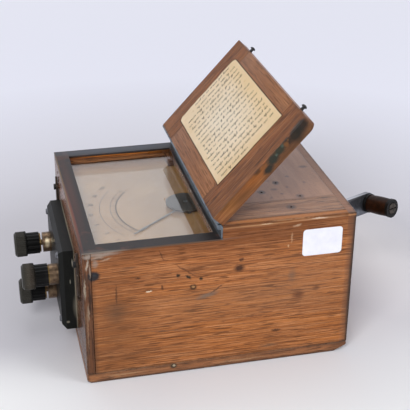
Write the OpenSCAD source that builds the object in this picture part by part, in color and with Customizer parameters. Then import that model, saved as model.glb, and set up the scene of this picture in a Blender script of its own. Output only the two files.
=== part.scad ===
// Hand-cranked ohmmeter in an oak case, with a glazed dial under a half lid.
// Origin at the centre of the base, +Z up, terminals on the -X end and crank on the +X end.
// At rest the lid stands open on its stop, the two catches hang and the crank arm is half folded.

/* [Case] */
// Length of the case, from the terminal end to the crank end
case_l = 250; // [235:1:270]
// Depth of the case, from side to side
case_d = 221.6; // [210:0.2:235]
// Height of the crank half
case_h = 149.2; // [145:0.2:160]
// Length of the lower half, which the lid closes
window_half_l = 125.2; // [118:0.2:132]
// Thickness of the front, rear and side boards
board_t = 8; // [6.5:0.5:9]
// Thickness of the base board
base_t = 10; // [7:0.5:12]
// Width of the cross-grained end strips of the top panel
top_clamp_w = 30; // [20:1:40]
// Radius of the old nail holes in the top panel
nail_hole_r = 1.2; // [0.8:0.1:2]

/* [Window] */
// Width of the dark rails on the front and on both sides of the glass
rail_w = 14; // [11:0.5:18]
// Width of the rail between the glass and the hinge
hinge_rail_w = 5.2; // [4:0.2:8]
// Thickness of the dark facing sheet on the rails
bezel_t = 1.5; // [1:0.1:2.5]
// Depth from the top of the rails down to the glass
glass_drop = 5.1; // [4.2:0.1:7]
// Thickness of the glass
glass_t = 2; // [1.5:0.1:2.5]
// How far the glass runs under the rails
glass_lip = 3.5; // [2:0.5:4.5]
// Clearance round the edge of the glass
glass_gap = 0.3; // [0.2:0.1:0.6]
// Height of the bead that holds the glass from below
bead_h = 3; // [2:0.5:4]

/* [Lid] */
// Thickness of the lid
lid_t = 12.3; // [10:0.1:14]
// Gap between the closed lid and the rails
lid_gap = 0.3; // [0.2:0.1:0.6]
// Angle at which the lid stands open
lid_open = 132.8; // [110:0.1:133.5]
// Width of the cross-grained end strips of the lid
lid_clamp_w = 40; // [25:1:50]
// Gap at the hinge, from its axis to the lid and to the top panel
hinge_side_gap = 3; // [2.8:0.1:3.5]
// Depth of the hinge axis under the top of the case
hinge_drop = 1.25; // [1:0.05:1.35]
// Radius of the hinge knuckles
knuckle_r = 2.5; // [2:0.1:2.6]
// Number of knuckles, shared between the two leaves
knuckle_n = 9; // [5:2:13]
// Gap between neighbouring knuckles
knuckle_gap = 0.4; // [0.2:0.1:0.8]
// Thickness of the hinge leaves
leaf_t = 1.4; // [1:0.1:1.6]
// Radius of the hinge pin
hinge_pin_r = 1.1; // [0.8:0.1:1.4]
// Width of the paper label across the lid
paper_w = 84.5; // [60:0.5:90]
// Length of the paper label along the hinge
paper_l = 162; // [120:1:180]
// Thickness of the paper label
paper_t = 0.3; // [0.2:0.1:0.5]
// Gap between the label and the hinge edge of the lid
paper_margin = 19.4; // [12:0.1:22]
// Shift of the label towards the far side
paper_shift = 6; // [-10:1:12]

/* [Catches] */
// Distance of each catch from the side of the case
catch_in = 28.3; // [20:0.1:36]
// Height of the catch pivots
catch_z = 110.5; // [106:0.5:114]
// Thickness of the catch plates
catch_t = 2; // [1.5:0.1:2.4]
// Width of the catch plates
catch_w = 9; // [8:0.5:11]
// Length of the finger tail above the pivot
catch_tail = 8; // [6:0.5:12]
// Radius of the pivot screws' shanks
catch_screw_r = 2; // [1.5:0.1:2.5]
// Gap between a catch and the front board
catch_gap = 0.5; // [0.3:0.1:0.8]
// Radius of the neck of the lid studs
stud_neck_r = 1.5; // [1.2:0.1:1.8]
// Radius of the head of the lid studs
stud_head_r = 2.7; // [2.4:0.1:3.2]
// Length of the neck of the lid studs
stud_neck_l = 3.2; // [3:0.1:4]

/* [Terminals] */
// Width of the terminal block
block_w = 109; // [100:1:116]
// Height of the terminal block
block_h = 85; // [78:1:90]
// Thickness of the terminal block
block_t = 14.5; // [9:0.5:16]
// Height of the lower edge of the terminal block
block_z = 20; // [18:1:26]
// Width of the bevel round the terminal block
block_bevel = 4; // [2:0.5:5]
// Shift of the terminals towards the far side
terminal_shift = 8; // [4:0.5:10]
// Distance of the two upper terminals from the middle one
terminal_spread = 33; // [30:0.5:35]
// Height of the two upper terminals
upper_terminal_z = 70; // [68:0.5:76]
// Height of the lower terminal
lower_terminal_z = 35; // [34:0.5:40]
// Radius of the threaded stems
stem_r = 3; // [2.5:0.1:3.5]
// Radius of the brass collars
collar_r = 10; // [8.5:0.5:11]
// Length of the brass collars
collar_l = 8; // [7:0.5:13]
// Thickness of the loose brass washers
washer_t = 1.3; // [1:0.1:2]
// Radius of the loose brass washers
washer_r = 9.5; // [8:0.5:10]
// Radius of the fluted sleeves of the knobs
sleeve_r = 10.8; // [10:0.1:11.5]
// Length of the fluted sleeves of the knobs
sleeve_l = 12.6; // [10:0.2:15]
// Radius of the knurled heads of the knobs
head_r = 12.6; // [12:0.1:14]
// Length of the knurled heads of the knobs
head_l = 12; // [9:0.5:14]
// Number of ribs on a knurled head
knurl_n = 40; // [24:2:48]
// How far the outer two knobs are unscrewed
knob_lift = 2; // [1:0.1:3]

/* [Crank] */
// Shift of the crank shaft from the middle, towards the near side
crank_shift = 26; // [24:0.2:32]
// Height of the crank shaft
crank_z = 102.4; // [100:0.2:102.4]
// Angle of the crank below level, at rest
crank_tip = 9.7; // [0:0.1:30]
// Angle by which the arm is folded out from its working place
fold_rest = 59; // [0:1:70]
// Distance of the fold pin from the rear board
fold_out = 8; // [7.5:0.5:12]
// Distance from the fold pin to the grip
crank_arm_l = 58; // [50:1:84]
// Width of the crank arm
arm_w = 21; // [20:0.5:24]
// Thickness of the crank arm
arm_t = 5; // [4:0.2:5.4]
// Width of the tongue of the arm, between the lugs of the fork
tongue_w = 8.4; // [6:0.2:9]
// Radius of the fold pin
fold_pin_r = 1.8; // [1.4:0.1:2.2]
// Radius of the grip
grip_r = 9.4; // [8:0.1:10]
// Length of the wooden grip, without its end rings
grip_l = 24; // [20:1:36]
// Length of each end ring of the grip
ring_l = 3; // [2.5:0.5:5]
// Radius of the spindle that the grip turns on
spindle_r = 3; // [2.4:0.1:3.5]
// Radius of the crank shaft
crank_shaft_r = 5; // [4:0.1:5.5]
// Radius of the bush in the rear board
bush_r = 8; // [7:0.2:9]
// Radius of the flange of the bush
bush_flange_r = 13; // [11:0.5:16]

/* [Generator] */
// Tooth module of the first gear pair
module_a = 1.25; // [1.2:0.05:1.25]
// Teeth of the crank gear
crank_teeth = 48; // [40:4:48]
// Teeth of the layshaft pinion
lay_pinion_teeth = 12; // [12:1:14]
// Tooth module of the second gear pair
module_b = 1; // [0.9:0.05:1.1]
// Teeth of the layshaft wheel
lay_wheel_teeth = 40; // [36:2:44]
// Teeth of the pinion on the armature
armature_teeth = 12; // [12:1:14]
// Thinning of each tooth, for play
tooth_play = 0.3; // [0.2:0.05:0.4]
// Width of the gear wheels
wheel_w = 6; // [5:0.5:6.5]
// Thickness of the bearing plates
plate_t = 3; // [2:0.5:3.5]
// Distance of the outer gear plate from the rear board
plate_in = 9; // [7:0.5:10]
// Distance between the inner and the outer gear plate
gear_space = 26; // [26:0.5:28]
// Height of the gear plates over the crank shaft
plate_over = 16; // [10:1:20]
// Width of the gear plates beyond the crank shaft
plate_side = 18; // [12:1:24]
// Radius of the hub of the crank gear
gear_hub_r = 11; // [9:0.5:14]
// Radius of the armature
armature_r = 18.2; // [16:0.2:19]
// Gap between the armature and the pole pieces
armature_gap = 0.4; // [0.3:0.1:0.8]
// Length of the armature core
armature_l = 40; // [34:1:42]
// Radius of the armature shaft
armature_shaft_r = 4; // [3:0.1:4.2]
// Width of the slots for the winding
slot_w = 16; // [12:0.5:18]
// Thickness of the field magnets, measured across the bar
magnet_bar = 12; // [9:0.5:13]
// Length of each field magnet along the armature
magnet_l = 12; // [9:0.5:12.5]
// Number of field magnets side by side
magnet_n = 3; // [1:1:3]
// Radius of the commutator
commutator_r = 8; // [6.5:0.5:9]
// Length of the commutator
commutator_l = 8; // [7:0.5:9]
// Side of the square brushes
brush_w = 5; // [4:0.5:5.5]

/* [Movement] */
// Distance of the pointer pivot from the step of the case
pivot_back = 13.2; // [12:0.2:16]
// Shift of the pointer pivot towards the near side
pivot_shift = 17.4; // [12:0.2:22]
// Depth of the dial under the top of the rails
dial_drop = 12.9; // [12.6:0.1:14]
// Thickness of the dial plate
dial_t = 1.6; // [1:0.1:2]
// Thickness of the wooden deck under the movement
deck_t = 8; // [6:0.5:9]
// Height from the deck to the top of the dial
deck_drop = 23.7; // [23.4:0.1:24]
// Depth of the grooves that hold the deck
groove = 3; // [2:0.5:4]
// Length of the pointer, from its pivot
pointer_l = 76; // [60:1:80]
// Angle of the pointer from the front, towards the near side, at rest
pointer_rest = 39.5; // [30:0.5:42]
// Radius of the iron core of the movement
core_r = 10; // [9:0.2:10.5]
// Radius of the bore between the pole pieces
pole_bore_r = 13.6; // [13.2:0.1:14.5]
// Radius of the spindle of the coil
staff_r = 1; // [0.8:0.1:1.3]
// Radius of the pivot ends of the spindle
pivot_r = 0.5; // [0.4:0.05:0.6]
// Distance of the bow of the movement's magnet from the front of the case
bow_in = 55; // [50:1:65]
// Radius of the round bridge over the pointer pivot
bridge_r = 19; // [18:0.5:22]
// Thickness of the bridge
bridge_t = 1.8; // [1.4:0.1:2]

/* [Hidden] */
$fn = 64;

// Running clearance of shafts in bores, and the gap between pieces that sit on a shaft
run = 0.05;
seat = 0.02;
// Small working gap between moving pieces and their neighbours
air = 0.3;

front_x = -case_l / 2;
rear_x = case_l / 2;
side_y = case_d / 2;
step_x = front_x + window_half_l;
inner_x = rear_x - board_t;
inner_y = side_y - board_t;
catch_y = side_y - catch_in;
low_h = case_h - lid_t - lid_gap;
rail_z = low_h - bezel_t;

open_x = [front_x + rail_w, step_x - hinge_rail_w];
open_y = [rail_w - side_y, side_y - rail_w];
glass_z = low_h - glass_drop;
dial_z = low_h - dial_drop;
frame_z = dial_z + 0.4;
frame_back_x = step_x + 5;
deck_top_z = dial_z - deck_drop;
deck_z = deck_top_z - deck_t;
deck_back_x = step_x + 6;

hinge_x = step_x - hinge_side_gap;
hinge_z = case_h - hinge_drop;
lid_end_x = hinge_x - hinge_side_gap;
lid_z = low_h + lid_gap;
stud_z = lid_z + lid_t / 2;
knuckle_pitch = case_d / knuckle_n;

terminal_z = [upper_terminal_z, upper_terminal_z, lower_terminal_z];
terminal_y = [terminal_shift + terminal_spread, terminal_shift - terminal_spread, terminal_shift];
terminal_lift = [knob_lift, 0, knob_lift];
block_x = front_x - block_t;
collar_x = block_x - collar_l;
stem_end = collar_l + washer_t + knob_lift + sleeve_l + head_l - 6;
nut_t = 5;
nut_r = 6;
block_screw_r = 2;
block_screw_head_r = 3.5;
block_screw_in = 8;
slot_cut = [-0.4, 0.4];
block_screw_l = board_t - groove - 0.5;
nail_spots = [[52, -53], [71, -36], [85, -68], [70, -88]];
nail_depth = 4;
catch_screw_in = 6;

crank_y = -crank_shift;
hub_x = 3;
lug_r = 5.5;
grip_x = arm_t / 2 + air;
grip_end_x = grip_x + 2 * ring_l + grip_l;
first_centres = module_a * (crank_teeth + lay_pinion_teeth) / 2;
second_centres = module_b * (lay_wheel_teeth + armature_teeth) / 2;
lay_y = crank_y + 0.6 * first_centres;
lay_z = crank_z - 0.8 * first_centres;
armature_y = lay_y + 5 / 13 * second_centres;
armature_z = lay_z - 12 / 13 * second_centres;
first_angle = atan2(-0.8, 0.6);
second_angle = atan2(-12, 5);

outer_plate_x = inner_x - plate_in;
inner_plate_x = outer_plate_x - gear_space;
first_gear_x = inner_plate_x + plate_t + 5;
second_gear_x = first_gear_x + wheel_w + 2;
web_half = 5;
commutator_x = inner_plate_x - 3.5 - commutator_l;
core_end_x = commutator_x - 6.5;
core_x = core_end_x - armature_l;
end_plate_x = core_x - 9 - plate_t;
end_plate_half_w = 26;
end_plate_rise = 16;
brush_x = commutator_x + (commutator_l - brush_w) / 2;
brush_l = 16;
magnet_reach = armature_r + armature_gap + 11.4;
magnet_arch_z = armature_z + 14;
plate_foot = 9;
plate_top_z = crank_z + plate_over;
lay_shaft_r = 3.5;
shaft_bores = [[crank_y, crank_z, crank_shaft_r], [lay_y, lay_z, lay_shaft_r],
    [armature_y, armature_z, armature_shaft_r]];
gear_plate_y = [crank_y - plate_side, armature_y + plate_side + 12];

pivot_x = step_x - pivot_back;
pivot_y = -pivot_shift;
magnet_h = 10;
pole_h = 12;
pole_half_l = 14;
pointer_z = dial_z + 0.8;
stop_r = 0.7;
stop_place = bridge_r + 5;
stop_angle = pointer_rest + asin((stop_r + air + 1.2) / stop_place);
core_low_z = deck_top_z + 3.2;
core_top_z = deck_top_z + 13;
coil_low_z = deck_top_z + 0.9;
coil_top_z = deck_top_z + 16.4;
coil_bar = 1.6;
coil_w = 5;
coil_out = pole_bore_r - 0.7;
coil_in = core_r + 0.6;
bridge_z = dial_z + 2.8;
movement_leg = 10;
movement_reach = pole_bore_r + 6.6;
pillar_r = 4;
pillar_pin_r = 1.5;
pillar_in = pillar_r + 0.5;
pillar_spots = [for (x = [front_x + board_t + pillar_in, step_x + 1],
    y = [pillar_in - inner_y, inner_y - pillar_in]) [x, y]];
pointer_tail = pivot_back - hinge_rail_w + glass_lip - 1.5;
bridge_back = pivot_back - hinge_rail_w - 1;
shoulder_z = bridge_z - 0.45;
low_shoulder_z = deck_top_z - 1.3;
pivot_l = 1.2;
jewel_r = 2.2;
low_jewel_r = 3;

oak = "#9c6238";
oak_dark = "#7d4f31";
ebonised = "#3b3a3c";
ebonite = "#262627";
brass = "#b0905a";
steel = "#77787c";
iron = "#4a4a4e";

// Box from three pairs of lower and upper limits
module bar(x, y, z) {
    translate([x[0], y[0], z[0]]) cube([x[1] - x[0], y[1] - y[0], z[1] - z[0]]);
}

// Round bar along +X from x, at height z and side place y
module rod_x(x, y, z, length, r) {
    translate([x, y, z]) rotate([0, 90, 0]) cylinder(h = length, r = r);
}

// Flat shape drawn in Y and Z, and given a length along +X from x
module sheet_x(x, y, z, length, turn = 0) {
    translate([x, y, z]) rotate([90, 0, 90]) rotate([0, 0, turn]) linear_extrude(length) children();
}

// Ring with a square hole
module ring_frame(outer_x, outer_y, inner_x_pair, inner_y_pair, z) {
    difference() {
        bar(outer_x, outer_y, z);
        bar(inner_x_pair, inner_y_pair, [z[0] - 1, z[1] + 1]);
    }
}

// Pair of limits widened by a margin at both ends
function wider(pair, margin) = [pair[0] - margin, pair[1] + margin];

// Pair of limits on both sides of a centre
function around(c, pair) = [c + pair[0], c + pair[1]];

// Pair of limits on the positive or the negative side
function to_side(a, b, side) = side > 0 ? [a, b] : [-b, -a];

// Case

module base_board() {
    color(oak_dark) bar([front_x, rear_x], [-side_y, side_y], [0, base_t]);
}

module side_board(y) {
    inner = y[0] < 0 ? [y[1] - groove, y[1] + 1] : [y[0] - 1, y[0] + groove];
    color(oak) difference() {
        union() {
            bar([front_x + board_t, inner_x], y, [base_t, rail_z]);
            bar([step_x, inner_x], y, [base_t, case_h]);
        }
        bar([front_x, deck_back_x], inner, [deck_z, deck_z + deck_t]);
    }
}

module near_side_board() {
    side_board([-side_y, -inner_y]);
}

module far_side_board() {
    side_board([inner_y, side_y]);
}

module front_board() {
    color(oak) difference() {
        bar([front_x, front_x + board_t], [-side_y, side_y], [base_t, rail_z]);
        for (k = [0:2]) rod_x(front_x - 1, terminal_y[k], terminal_z[k], board_t + 2, stem_r + 0.5);
        block_screw_places() rod_x(-1, 0, 0, block_screw_l + 1 + air, block_screw_r);
        for (y = [-catch_y, catch_y]) rod_x(front_x - 1, y, catch_z, catch_screw_in + 2, catch_screw_r);
        bar([front_x + board_t - groove, 0], wider([-inner_y, inner_y], groove), [deck_z, deck_z + deck_t]);
    }
}

module rear_board() {
    color(oak) difference() {
        bar([inner_x, rear_x], [-side_y, side_y], [base_t, case_h]);
        rod_x(inner_x - 1, crank_y, crank_z, board_t + 2, bush_r);
    }
}

module nail_holes() {
    for (spot = nail_spots) translate([spot[0], spot[1], case_h - nail_depth])
        cylinder(h = nail_depth + 1, r = nail_hole_r);
}

module top_panel() {
    strip_y = inner_y - top_clamp_w;
    color(oak_dark) difference() {
        bar([step_x, inner_x], [-strip_y, strip_y], [rail_z, case_h]);
        nail_holes();
    }
}

module top_end_strips() {
    color(oak_dark) difference() {
        for (y = [-inner_y, inner_y - top_clamp_w])
            bar([step_x, inner_x], [y, y + top_clamp_w], [rail_z, case_h]);
        nail_holes();
    }
}

module window_frame() {
    color(oak) difference() {
        bar([front_x + board_t, frame_back_x], [-inner_y, inner_y], [frame_z, rail_z]);
        bar(open_x, open_y, [frame_z - 1, rail_z + 1]);
        bar(wider(open_x, glass_lip), wider(open_y, glass_lip), [frame_z - 1, glass_z]);
    }
}

module window_bezel() {
    color(ebonised) ring_frame([front_x, step_x], [-side_y, side_y], open_x, open_y, [rail_z, low_h]);
}

module window_glass() {
    edge = glass_lip - glass_gap;
    color("#dfe6e4") bar(wider(open_x, edge), wider(open_y, edge), [glass_z - glass_t, glass_z]);
}

module glazing_bead() {
    z = glass_z - glass_t;
    color(oak_dark) ring_frame(wider(open_x, glass_lip), wider(open_y, glass_lip),
        wider(open_x, 0.5), wider(open_y, 0.5), [z - bead_h, z]);
}

module deck_board() {
    color(oak_dark) difference() {
        bar([front_x + board_t - groove, deck_back_x], wider([-inner_y, inner_y], groove),
            [deck_z, deck_z + deck_t]);
        translate([pivot_x, pivot_y, deck_z - 1]) cylinder(h = deck_t + 2, r = 3);
    }
}

// Lid, drawn closed and turned open about the hinge

module lid_pose() {
    translate([hinge_x, 0, hinge_z]) rotate([0, lid_open, 0]) translate([-hinge_x, 0, -hinge_z]) children();
}

module lid_panel() {
    strip_y = side_y - lid_clamp_w;
    color(oak) lid_pose() bar([front_x, lid_end_x], [-strip_y, strip_y], [lid_z, lid_z + lid_t]);
}

module lid_end_strips() {
    color(oak) lid_pose() for (y = [-side_y, side_y - lid_clamp_w])
        bar([front_x, lid_end_x], [y, y + lid_clamp_w], [lid_z, lid_z + lid_t]);
}

module paper_label() {
    clip = 5;
    x = [lid_end_x - paper_margin - paper_w, lid_end_x - paper_margin];
    y = [paper_shift - paper_l / 2, paper_shift + paper_l / 2];
    color("#e5cfa5") lid_pose() translate([0, 0, lid_z - paper_t]) linear_extrude(paper_t)
        polygon([[x[0], y[0]], [x[1], y[0]], [x[1], y[1] - clip], [x[1] - clip, y[1]],
            [x[0] + clip, y[1]], [x[0], y[1] - clip]]);
}

module lid_studs() {
    color(iron) lid_pose() for (y = [-catch_y, catch_y])
        translate([front_x, y, stud_z]) rotate([0, -90, 0]) rotate_extrude()
            polygon([[0, 0], [stud_neck_r, 0], [stud_neck_r, stud_neck_l], [stud_head_r, stud_neck_l],
                [stud_head_r, stud_neck_l + 0.8], [stud_head_r * 0.8, stud_neck_l + 1.7],
                [stud_head_r * 0.4, stud_neck_l + 2.2], [0, stud_neck_l + 2.3]]);
}

// Hinge leaf on the plane x, with its knuckles at every second place from first
module hinge_leaf(x, first, low_z) {
    clear = knuckle_r + air;
    plate = x < hinge_x ? [x, x + leaf_t] : [x - leaf_t, x];
    difference() {
        union() {
            bar(plate, [-side_y + 1, side_y - 1], [low_z, hinge_z - clear]);
            for (k = [first:2:knuckle_n - 1]) {
                y = k * knuckle_pitch - side_y + knuckle_gap;
                length = knuckle_pitch - 2 * knuckle_gap;
                bar(plate, [y, y + length], [hinge_z - clear - 1, hinge_z]);
                translate([hinge_x, y, hinge_z]) rotate([-90, 0, 0]) cylinder(h = length, r = knuckle_r);
            }
        }
        translate([hinge_x, -side_y, hinge_z]) rotate([-90, 0, 0])
            cylinder(h = case_d, r = hinge_pin_r + run);
    }
}

module hinge_case_leaf() {
    color(iron) hinge_leaf(step_x, 0, low_h);
}

module hinge_lid_leaf() {
    color(iron) lid_pose() hinge_leaf(lid_end_x, 1, lid_z);
}

module hinge_pin() {
    color(steel) translate([hinge_x, -side_y + knuckle_gap, hinge_z]) rotate([-90, 0, 0])
        cylinder(h = case_d - 2 * knuckle_gap, r = hinge_pin_r);
}

// Catches, drawn hanging, with the jaw open towards the outside
module catch_plate(side) {
    reach = stud_z - catch_z;
    jaw_r = stud_neck_r + air;
    pad_r = catch_w / 2;
    color(iron) translate([front_x - catch_gap, side * catch_y, catch_z]) rotate([0, -90, 0])
        linear_extrude(catch_t) difference() {
            union() {
                circle(r = pad_r);
                translate([0, -pad_r * 0.7]) square([catch_tail, pad_r * 1.4]);
                translate([catch_tail, 0]) circle(r = pad_r * 0.7);
                translate([-reach, -pad_r]) square([reach, catch_w]);
                translate([-reach, 0]) circle(r = pad_r);
            }
            circle(r = catch_screw_r + run);
            translate([-reach, 0]) circle(r = jaw_r);
            translate([-reach - jaw_r, side > 0 ? 0 : -pad_r - 1]) square([2 * jaw_r, pad_r + 1]);
        }
}

module near_catch() {
    catch_plate(-1);
}

module far_catch() {
    catch_plate(1);
}

module catch_screws() {
    shank = catch_gap + catch_t + air;
    head_r = catch_screw_r + 1;
    color(iron) for (y = [-catch_y, catch_y]) difference() {
        union() {
            rod_x(front_x - shank, y, catch_z, shank + catch_screw_in, catch_screw_r);
            rod_x(front_x - shank - 1.8, y, catch_z, 1.8, head_r);
        }
        bar([front_x - shank - 2, front_x - shank - 1.2], around(y, [-head_r, head_r]),
            around(catch_z, slot_cut));
    }
}

// Terminals

// Places children at the four corner screws of the terminal block
module block_screw_places() {
    for (y = [-1, 1] * (block_w / 2 - block_screw_in), z = [block_screw_in, block_h - block_screw_in])
        translate([front_x, terminal_shift + y, block_z + z]) children();
}

module terminal_block() {
    y = terminal_shift - block_w / 2;
    color(ebonite) difference() {
        hull() {
            bar([front_x - block_t + block_bevel, front_x], [y, y + block_w], [block_z, block_z + block_h]);
            bar([block_x, front_x], [y + block_bevel, y + block_w - block_bevel],
                [block_z + block_bevel, block_z + block_h - block_bevel]);
        }
        for (k = [0:2]) rod_x(block_x - 1, terminal_y[k], terminal_z[k], block_t + 2, stem_r + seat);
        block_screw_places() rod_x(-block_t - 1, 0, 0, block_t + 2, block_screw_r + seat);
    }
}

module block_screws() {
    color(steel) block_screw_places() difference() {
        union() {
            rod_x(-block_t, 0, 0, block_t + block_screw_l, block_screw_r);
            translate([-block_t, 0, 0]) rotate([0, -90, 0])
                cylinder(h = 1.8, r1 = block_screw_head_r, r2 = 2.4);
        }
        bar([-block_t - 2, -block_t - 1.1], [-4, 4], slot_cut);
    }
}

module terminal_stems() {
    color(brass) for (k = [0:2]) {
        rod_x(collar_x, terminal_y[k], terminal_z[k], collar_l, collar_r);
        rod_x(block_x - stem_end, terminal_y[k], terminal_z[k],
            stem_end + block_t + board_t + nut_t + 3, stem_r);
    }
}

module terminal_nuts() {
    color(brass) for (k = [0:2]) difference() {
        translate([front_x + board_t, terminal_y[k], terminal_z[k]]) rotate([0, 90, 0])
            cylinder(h = nut_t, r = nut_r, $fn = 6);
        rod_x(front_x, terminal_y[k], terminal_z[k], board_t + nut_t + 1, stem_r + seat);
    }
}

module washer(k) {
    x = collar_x - terminal_lift[k] - washer_t - seat;
    color(brass) difference() {
        rod_x(x, terminal_y[k], terminal_z[k], washer_t, washer_r);
        rod_x(x - 1, terminal_y[k], terminal_z[k], washer_t + 2, stem_r + run);
    }
}

module far_washer() {
    washer(0);
}

module near_washer() {
    washer(1);
}

module low_washer() {
    washer(2);
}

// Knob outline with ribs: points alternate between the rib tops and the valleys
function ribbed(r, depth, n) = [for (k = [0:4 * n - 1])
    let (a = 90 * k / n, s = k % 4 < 2 ? r : r - depth) [s * cos(a), s * sin(a)]];

module knob(k) {
    x = collar_x - terminal_lift[k] - washer_t - 2 * seat;
    bevel = 2;
    color(ebonite) translate([x, terminal_y[k], terminal_z[k]]) rotate([0, -90, 0]) difference() {
        union() {
            linear_extrude(sleeve_l) polygon(ribbed(sleeve_r, 0.5, 16));
            translate([0, 0, sleeve_l]) intersection() {
                linear_extrude(head_l) polygon(ribbed(head_r, 0.5, knurl_n));
                rotate_extrude() polygon([[0, 0], [head_r - 0.6, 0], [head_r + 1, 1.6],
                    [head_r + 1, head_l - bevel - 1], [head_r - bevel, head_l], [0, head_l]]);
            }
        }
        translate([0, 0, -1]) cylinder(h = sleeve_l + head_l - 2.5, r = stem_r + run);
    }
}

module far_knob() {
    knob(0);
}

module near_knob() {
    knob(1);
}

module low_knob() {
    knob(2);
}

// Gears, turning about X

// Involute tooth flank: half tooth angle at radius r
function inv(a) = tan(a) * 180 / PI - a;
function half_tooth(r, m, n, play) = let (rp = m * n / 2, rb = rp * cos(20))
    90 / n - play / 2 / rp * 180 / PI + inv(20) - inv(acos(min(1, rb / r)));

function tooth_radii(m, n) = let (rp = m * n / 2, rb = rp * cos(20))
    [max(rb, rp - 0.9 * m), rp, rp + 0.4 * m, rp + 0.8 * m];

function gear_points(m, n, play) = let (radii = tooth_radii(m, n), root = m * n / 2 - 1.2 * m)
    [for (k = [0:n - 1]) let (mid = 360 * k / n, foot = half_tooth(radii[0], m, n, play))
        each concat([[root * cos(mid - foot), root * sin(mid - foot)]],
            [for (r = radii) let (a = mid - half_tooth(r, m, n, play)) [r * cos(a), r * sin(a)]],
            [for (j = [3:-1:0]) let (r = radii[j], a = mid + half_tooth(r, m, n, play))
                [r * cos(a), r * sin(a)]],
            [[root * cos(mid + foot), root * sin(mid + foot)]])];

module crank_gear() {
    hub_l = wheel_w + 3;
    color(brass) difference() {
        union() {
            sheet_x(first_gear_x, crank_y, crank_z, wheel_w, first_angle)
                polygon(gear_points(module_a, crank_teeth, tooth_play));
            rod_x(first_gear_x, crank_y, crank_z, hub_l, gear_hub_r);
        }
        rod_x(first_gear_x - 1, crank_y, crank_z, hub_l + 2, crank_shaft_r + seat);
    }
}

module lay_gear() {
    pinion_turn = first_angle + 180 + 180 / lay_pinion_teeth;
    color(steel) {
        rod_x(inner_plate_x, lay_y, lay_z, outer_plate_x + plate_t - inner_plate_x, lay_shaft_r);
        sheet_x(first_gear_x - 1, lay_y, lay_z, wheel_w + 3, pinion_turn)
            polygon(gear_points(module_a, lay_pinion_teeth, tooth_play));
        sheet_x(second_gear_x, lay_y, lay_z, wheel_w, second_angle)
            polygon(gear_points(module_b, lay_wheel_teeth, tooth_play));
    }
}

// Crank, with its own frame at the shaft: X out of the case, Y along the working arm

module crank_frame() {
    translate([rear_x, crank_y, crank_z]) rotate([-crank_tip, 0, 0]) children();
}

module arm_frame() {
    crank_frame() translate([fold_out, 0, 0]) rotate([0, 0, -fold_rest]) children();
}

module crank_bush() {
    color(brass) difference() {
        union() {
            rod_x(inner_x - 2, crank_y, crank_z, board_t + 2, bush_r - seat);
            rod_x(rear_x, crank_y, crank_z, 2, bush_flange_r);
        }
        rod_x(inner_x - 4, crank_y, crank_z, board_t + 8, crank_shaft_r + run);
    }
}

module crank_shaft() {
    lug_w = (arm_w - tongue_w) / 2 - air;
    color(steel) {
        rod_x(inner_plate_x - 2, crank_y, crank_z, rear_x + hub_x - inner_plate_x + 2, crank_shaft_r);
        crank_frame() difference() {
            union() {
                rod_x(hub_x - 0.6, 0, 0, 2, arm_w / 2);
                for (z = [-arm_w / 2, arm_w / 2 - lug_w]) {
                    bar([hub_x, fold_out], [-lug_r, lug_r], [z, z + lug_w]);
                    translate([fold_out, 0, z]) cylinder(h = lug_w, r = lug_r);
                }
            }
            translate([fold_out, 0, -arm_w]) cylinder(h = 2 * arm_w, r = fold_pin_r + seat);
        }
    }
}

module fold_pin() {
    color(steel) crank_frame() translate([fold_out, 0, -arm_w / 2 - 0.6])
        cylinder(h = arm_w + 1.2, r = fold_pin_r);
}

module crank_arm() {
    tongue_r = arm_t / 2 + 0.8;
    shoulder = lug_r + air;
    color(iron) arm_frame() difference() {
        union() {
            translate([0, 0, -tongue_w / 2]) cylinder(h = tongue_w, r = tongue_r);
            bar([-arm_t / 2, arm_t / 2], [0, shoulder + 1], [-tongue_w / 2, tongue_w / 2]);
            bar([-arm_t / 2, arm_t / 2], [shoulder, crank_arm_l], [-arm_w / 2, arm_w / 2]);
            rod_x(-arm_t / 2, crank_arm_l, 0, arm_t, arm_w / 2);
        }
        translate([0, 0, -arm_w]) cylinder(h = 2 * arm_w, r = fold_pin_r + run);
        rod_x(-arm_t, crank_arm_l, 0, 2 * arm_t, spindle_r + seat);
    }
}

module grip_spindle() {
    head_r = 5.6;
    head_x = grip_end_x - 1.6;
    color(steel) arm_frame() difference() {
        union() {
            rod_x(-arm_t / 2, crank_arm_l, 0, head_x + arm_t / 2, spindle_r);
            rod_x(head_x, crank_arm_l, 0, 2, head_r);
        }
        bar([head_x + 0.8, head_x + 3], around(crank_arm_l, [-head_r, head_r]), [-0.6, 0.6]);
    }
}

module crank_grip() {
    x = grip_x + ring_l;
    swell = 0.5;
    color("#4a2a16") arm_frame() translate([x, crank_arm_l, 0]) rotate([0, 90, 0]) rotate_extrude()
        polygon(concat([[spindle_r + run, 0]],
            [for (k = [0:6]) [grip_r - swell + swell * sin(30 * k), grip_l * k / 6]],
            [[spindle_r + run, grip_l]]));
}

module grip_rings() {
    color(ebonite) arm_frame() {
        difference() {
            rod_x(grip_x, crank_arm_l, 0, ring_l, grip_r + 0.3);
            rod_x(grip_x - 1, crank_arm_l, 0, ring_l + 2, spindle_r + run);
        }
        difference() {
            rod_x(grip_end_x - ring_l, crank_arm_l, 0, ring_l, grip_r + 0.2);
            rod_x(grip_end_x - ring_l - 1, crank_arm_l, 0, ring_l + 2, spindle_r + run);
            rod_x(grip_end_x - 2, crank_arm_l, 0, 3, 6.2);
        }
    }
}

// Generator

// Bearing plate on its foot, with bores for the three shafts that reach it
module bearing_plate(x, foot_dir, y, top, bores) {
    foot = foot_dir > 0 ? [x, x + plate_foot] : [x + plate_t - plate_foot, x + plate_t];
    color(brass) difference() {
        union() {
            bar([x, x + plate_t], y, [base_t, top]);
            bar(foot, y, [base_t, base_t + plate_t]);
        }
        for (b = bores) rod_x(x - 1, b[0], b[1], plate_t + 2, b[2] + run);
    }
}

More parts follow.
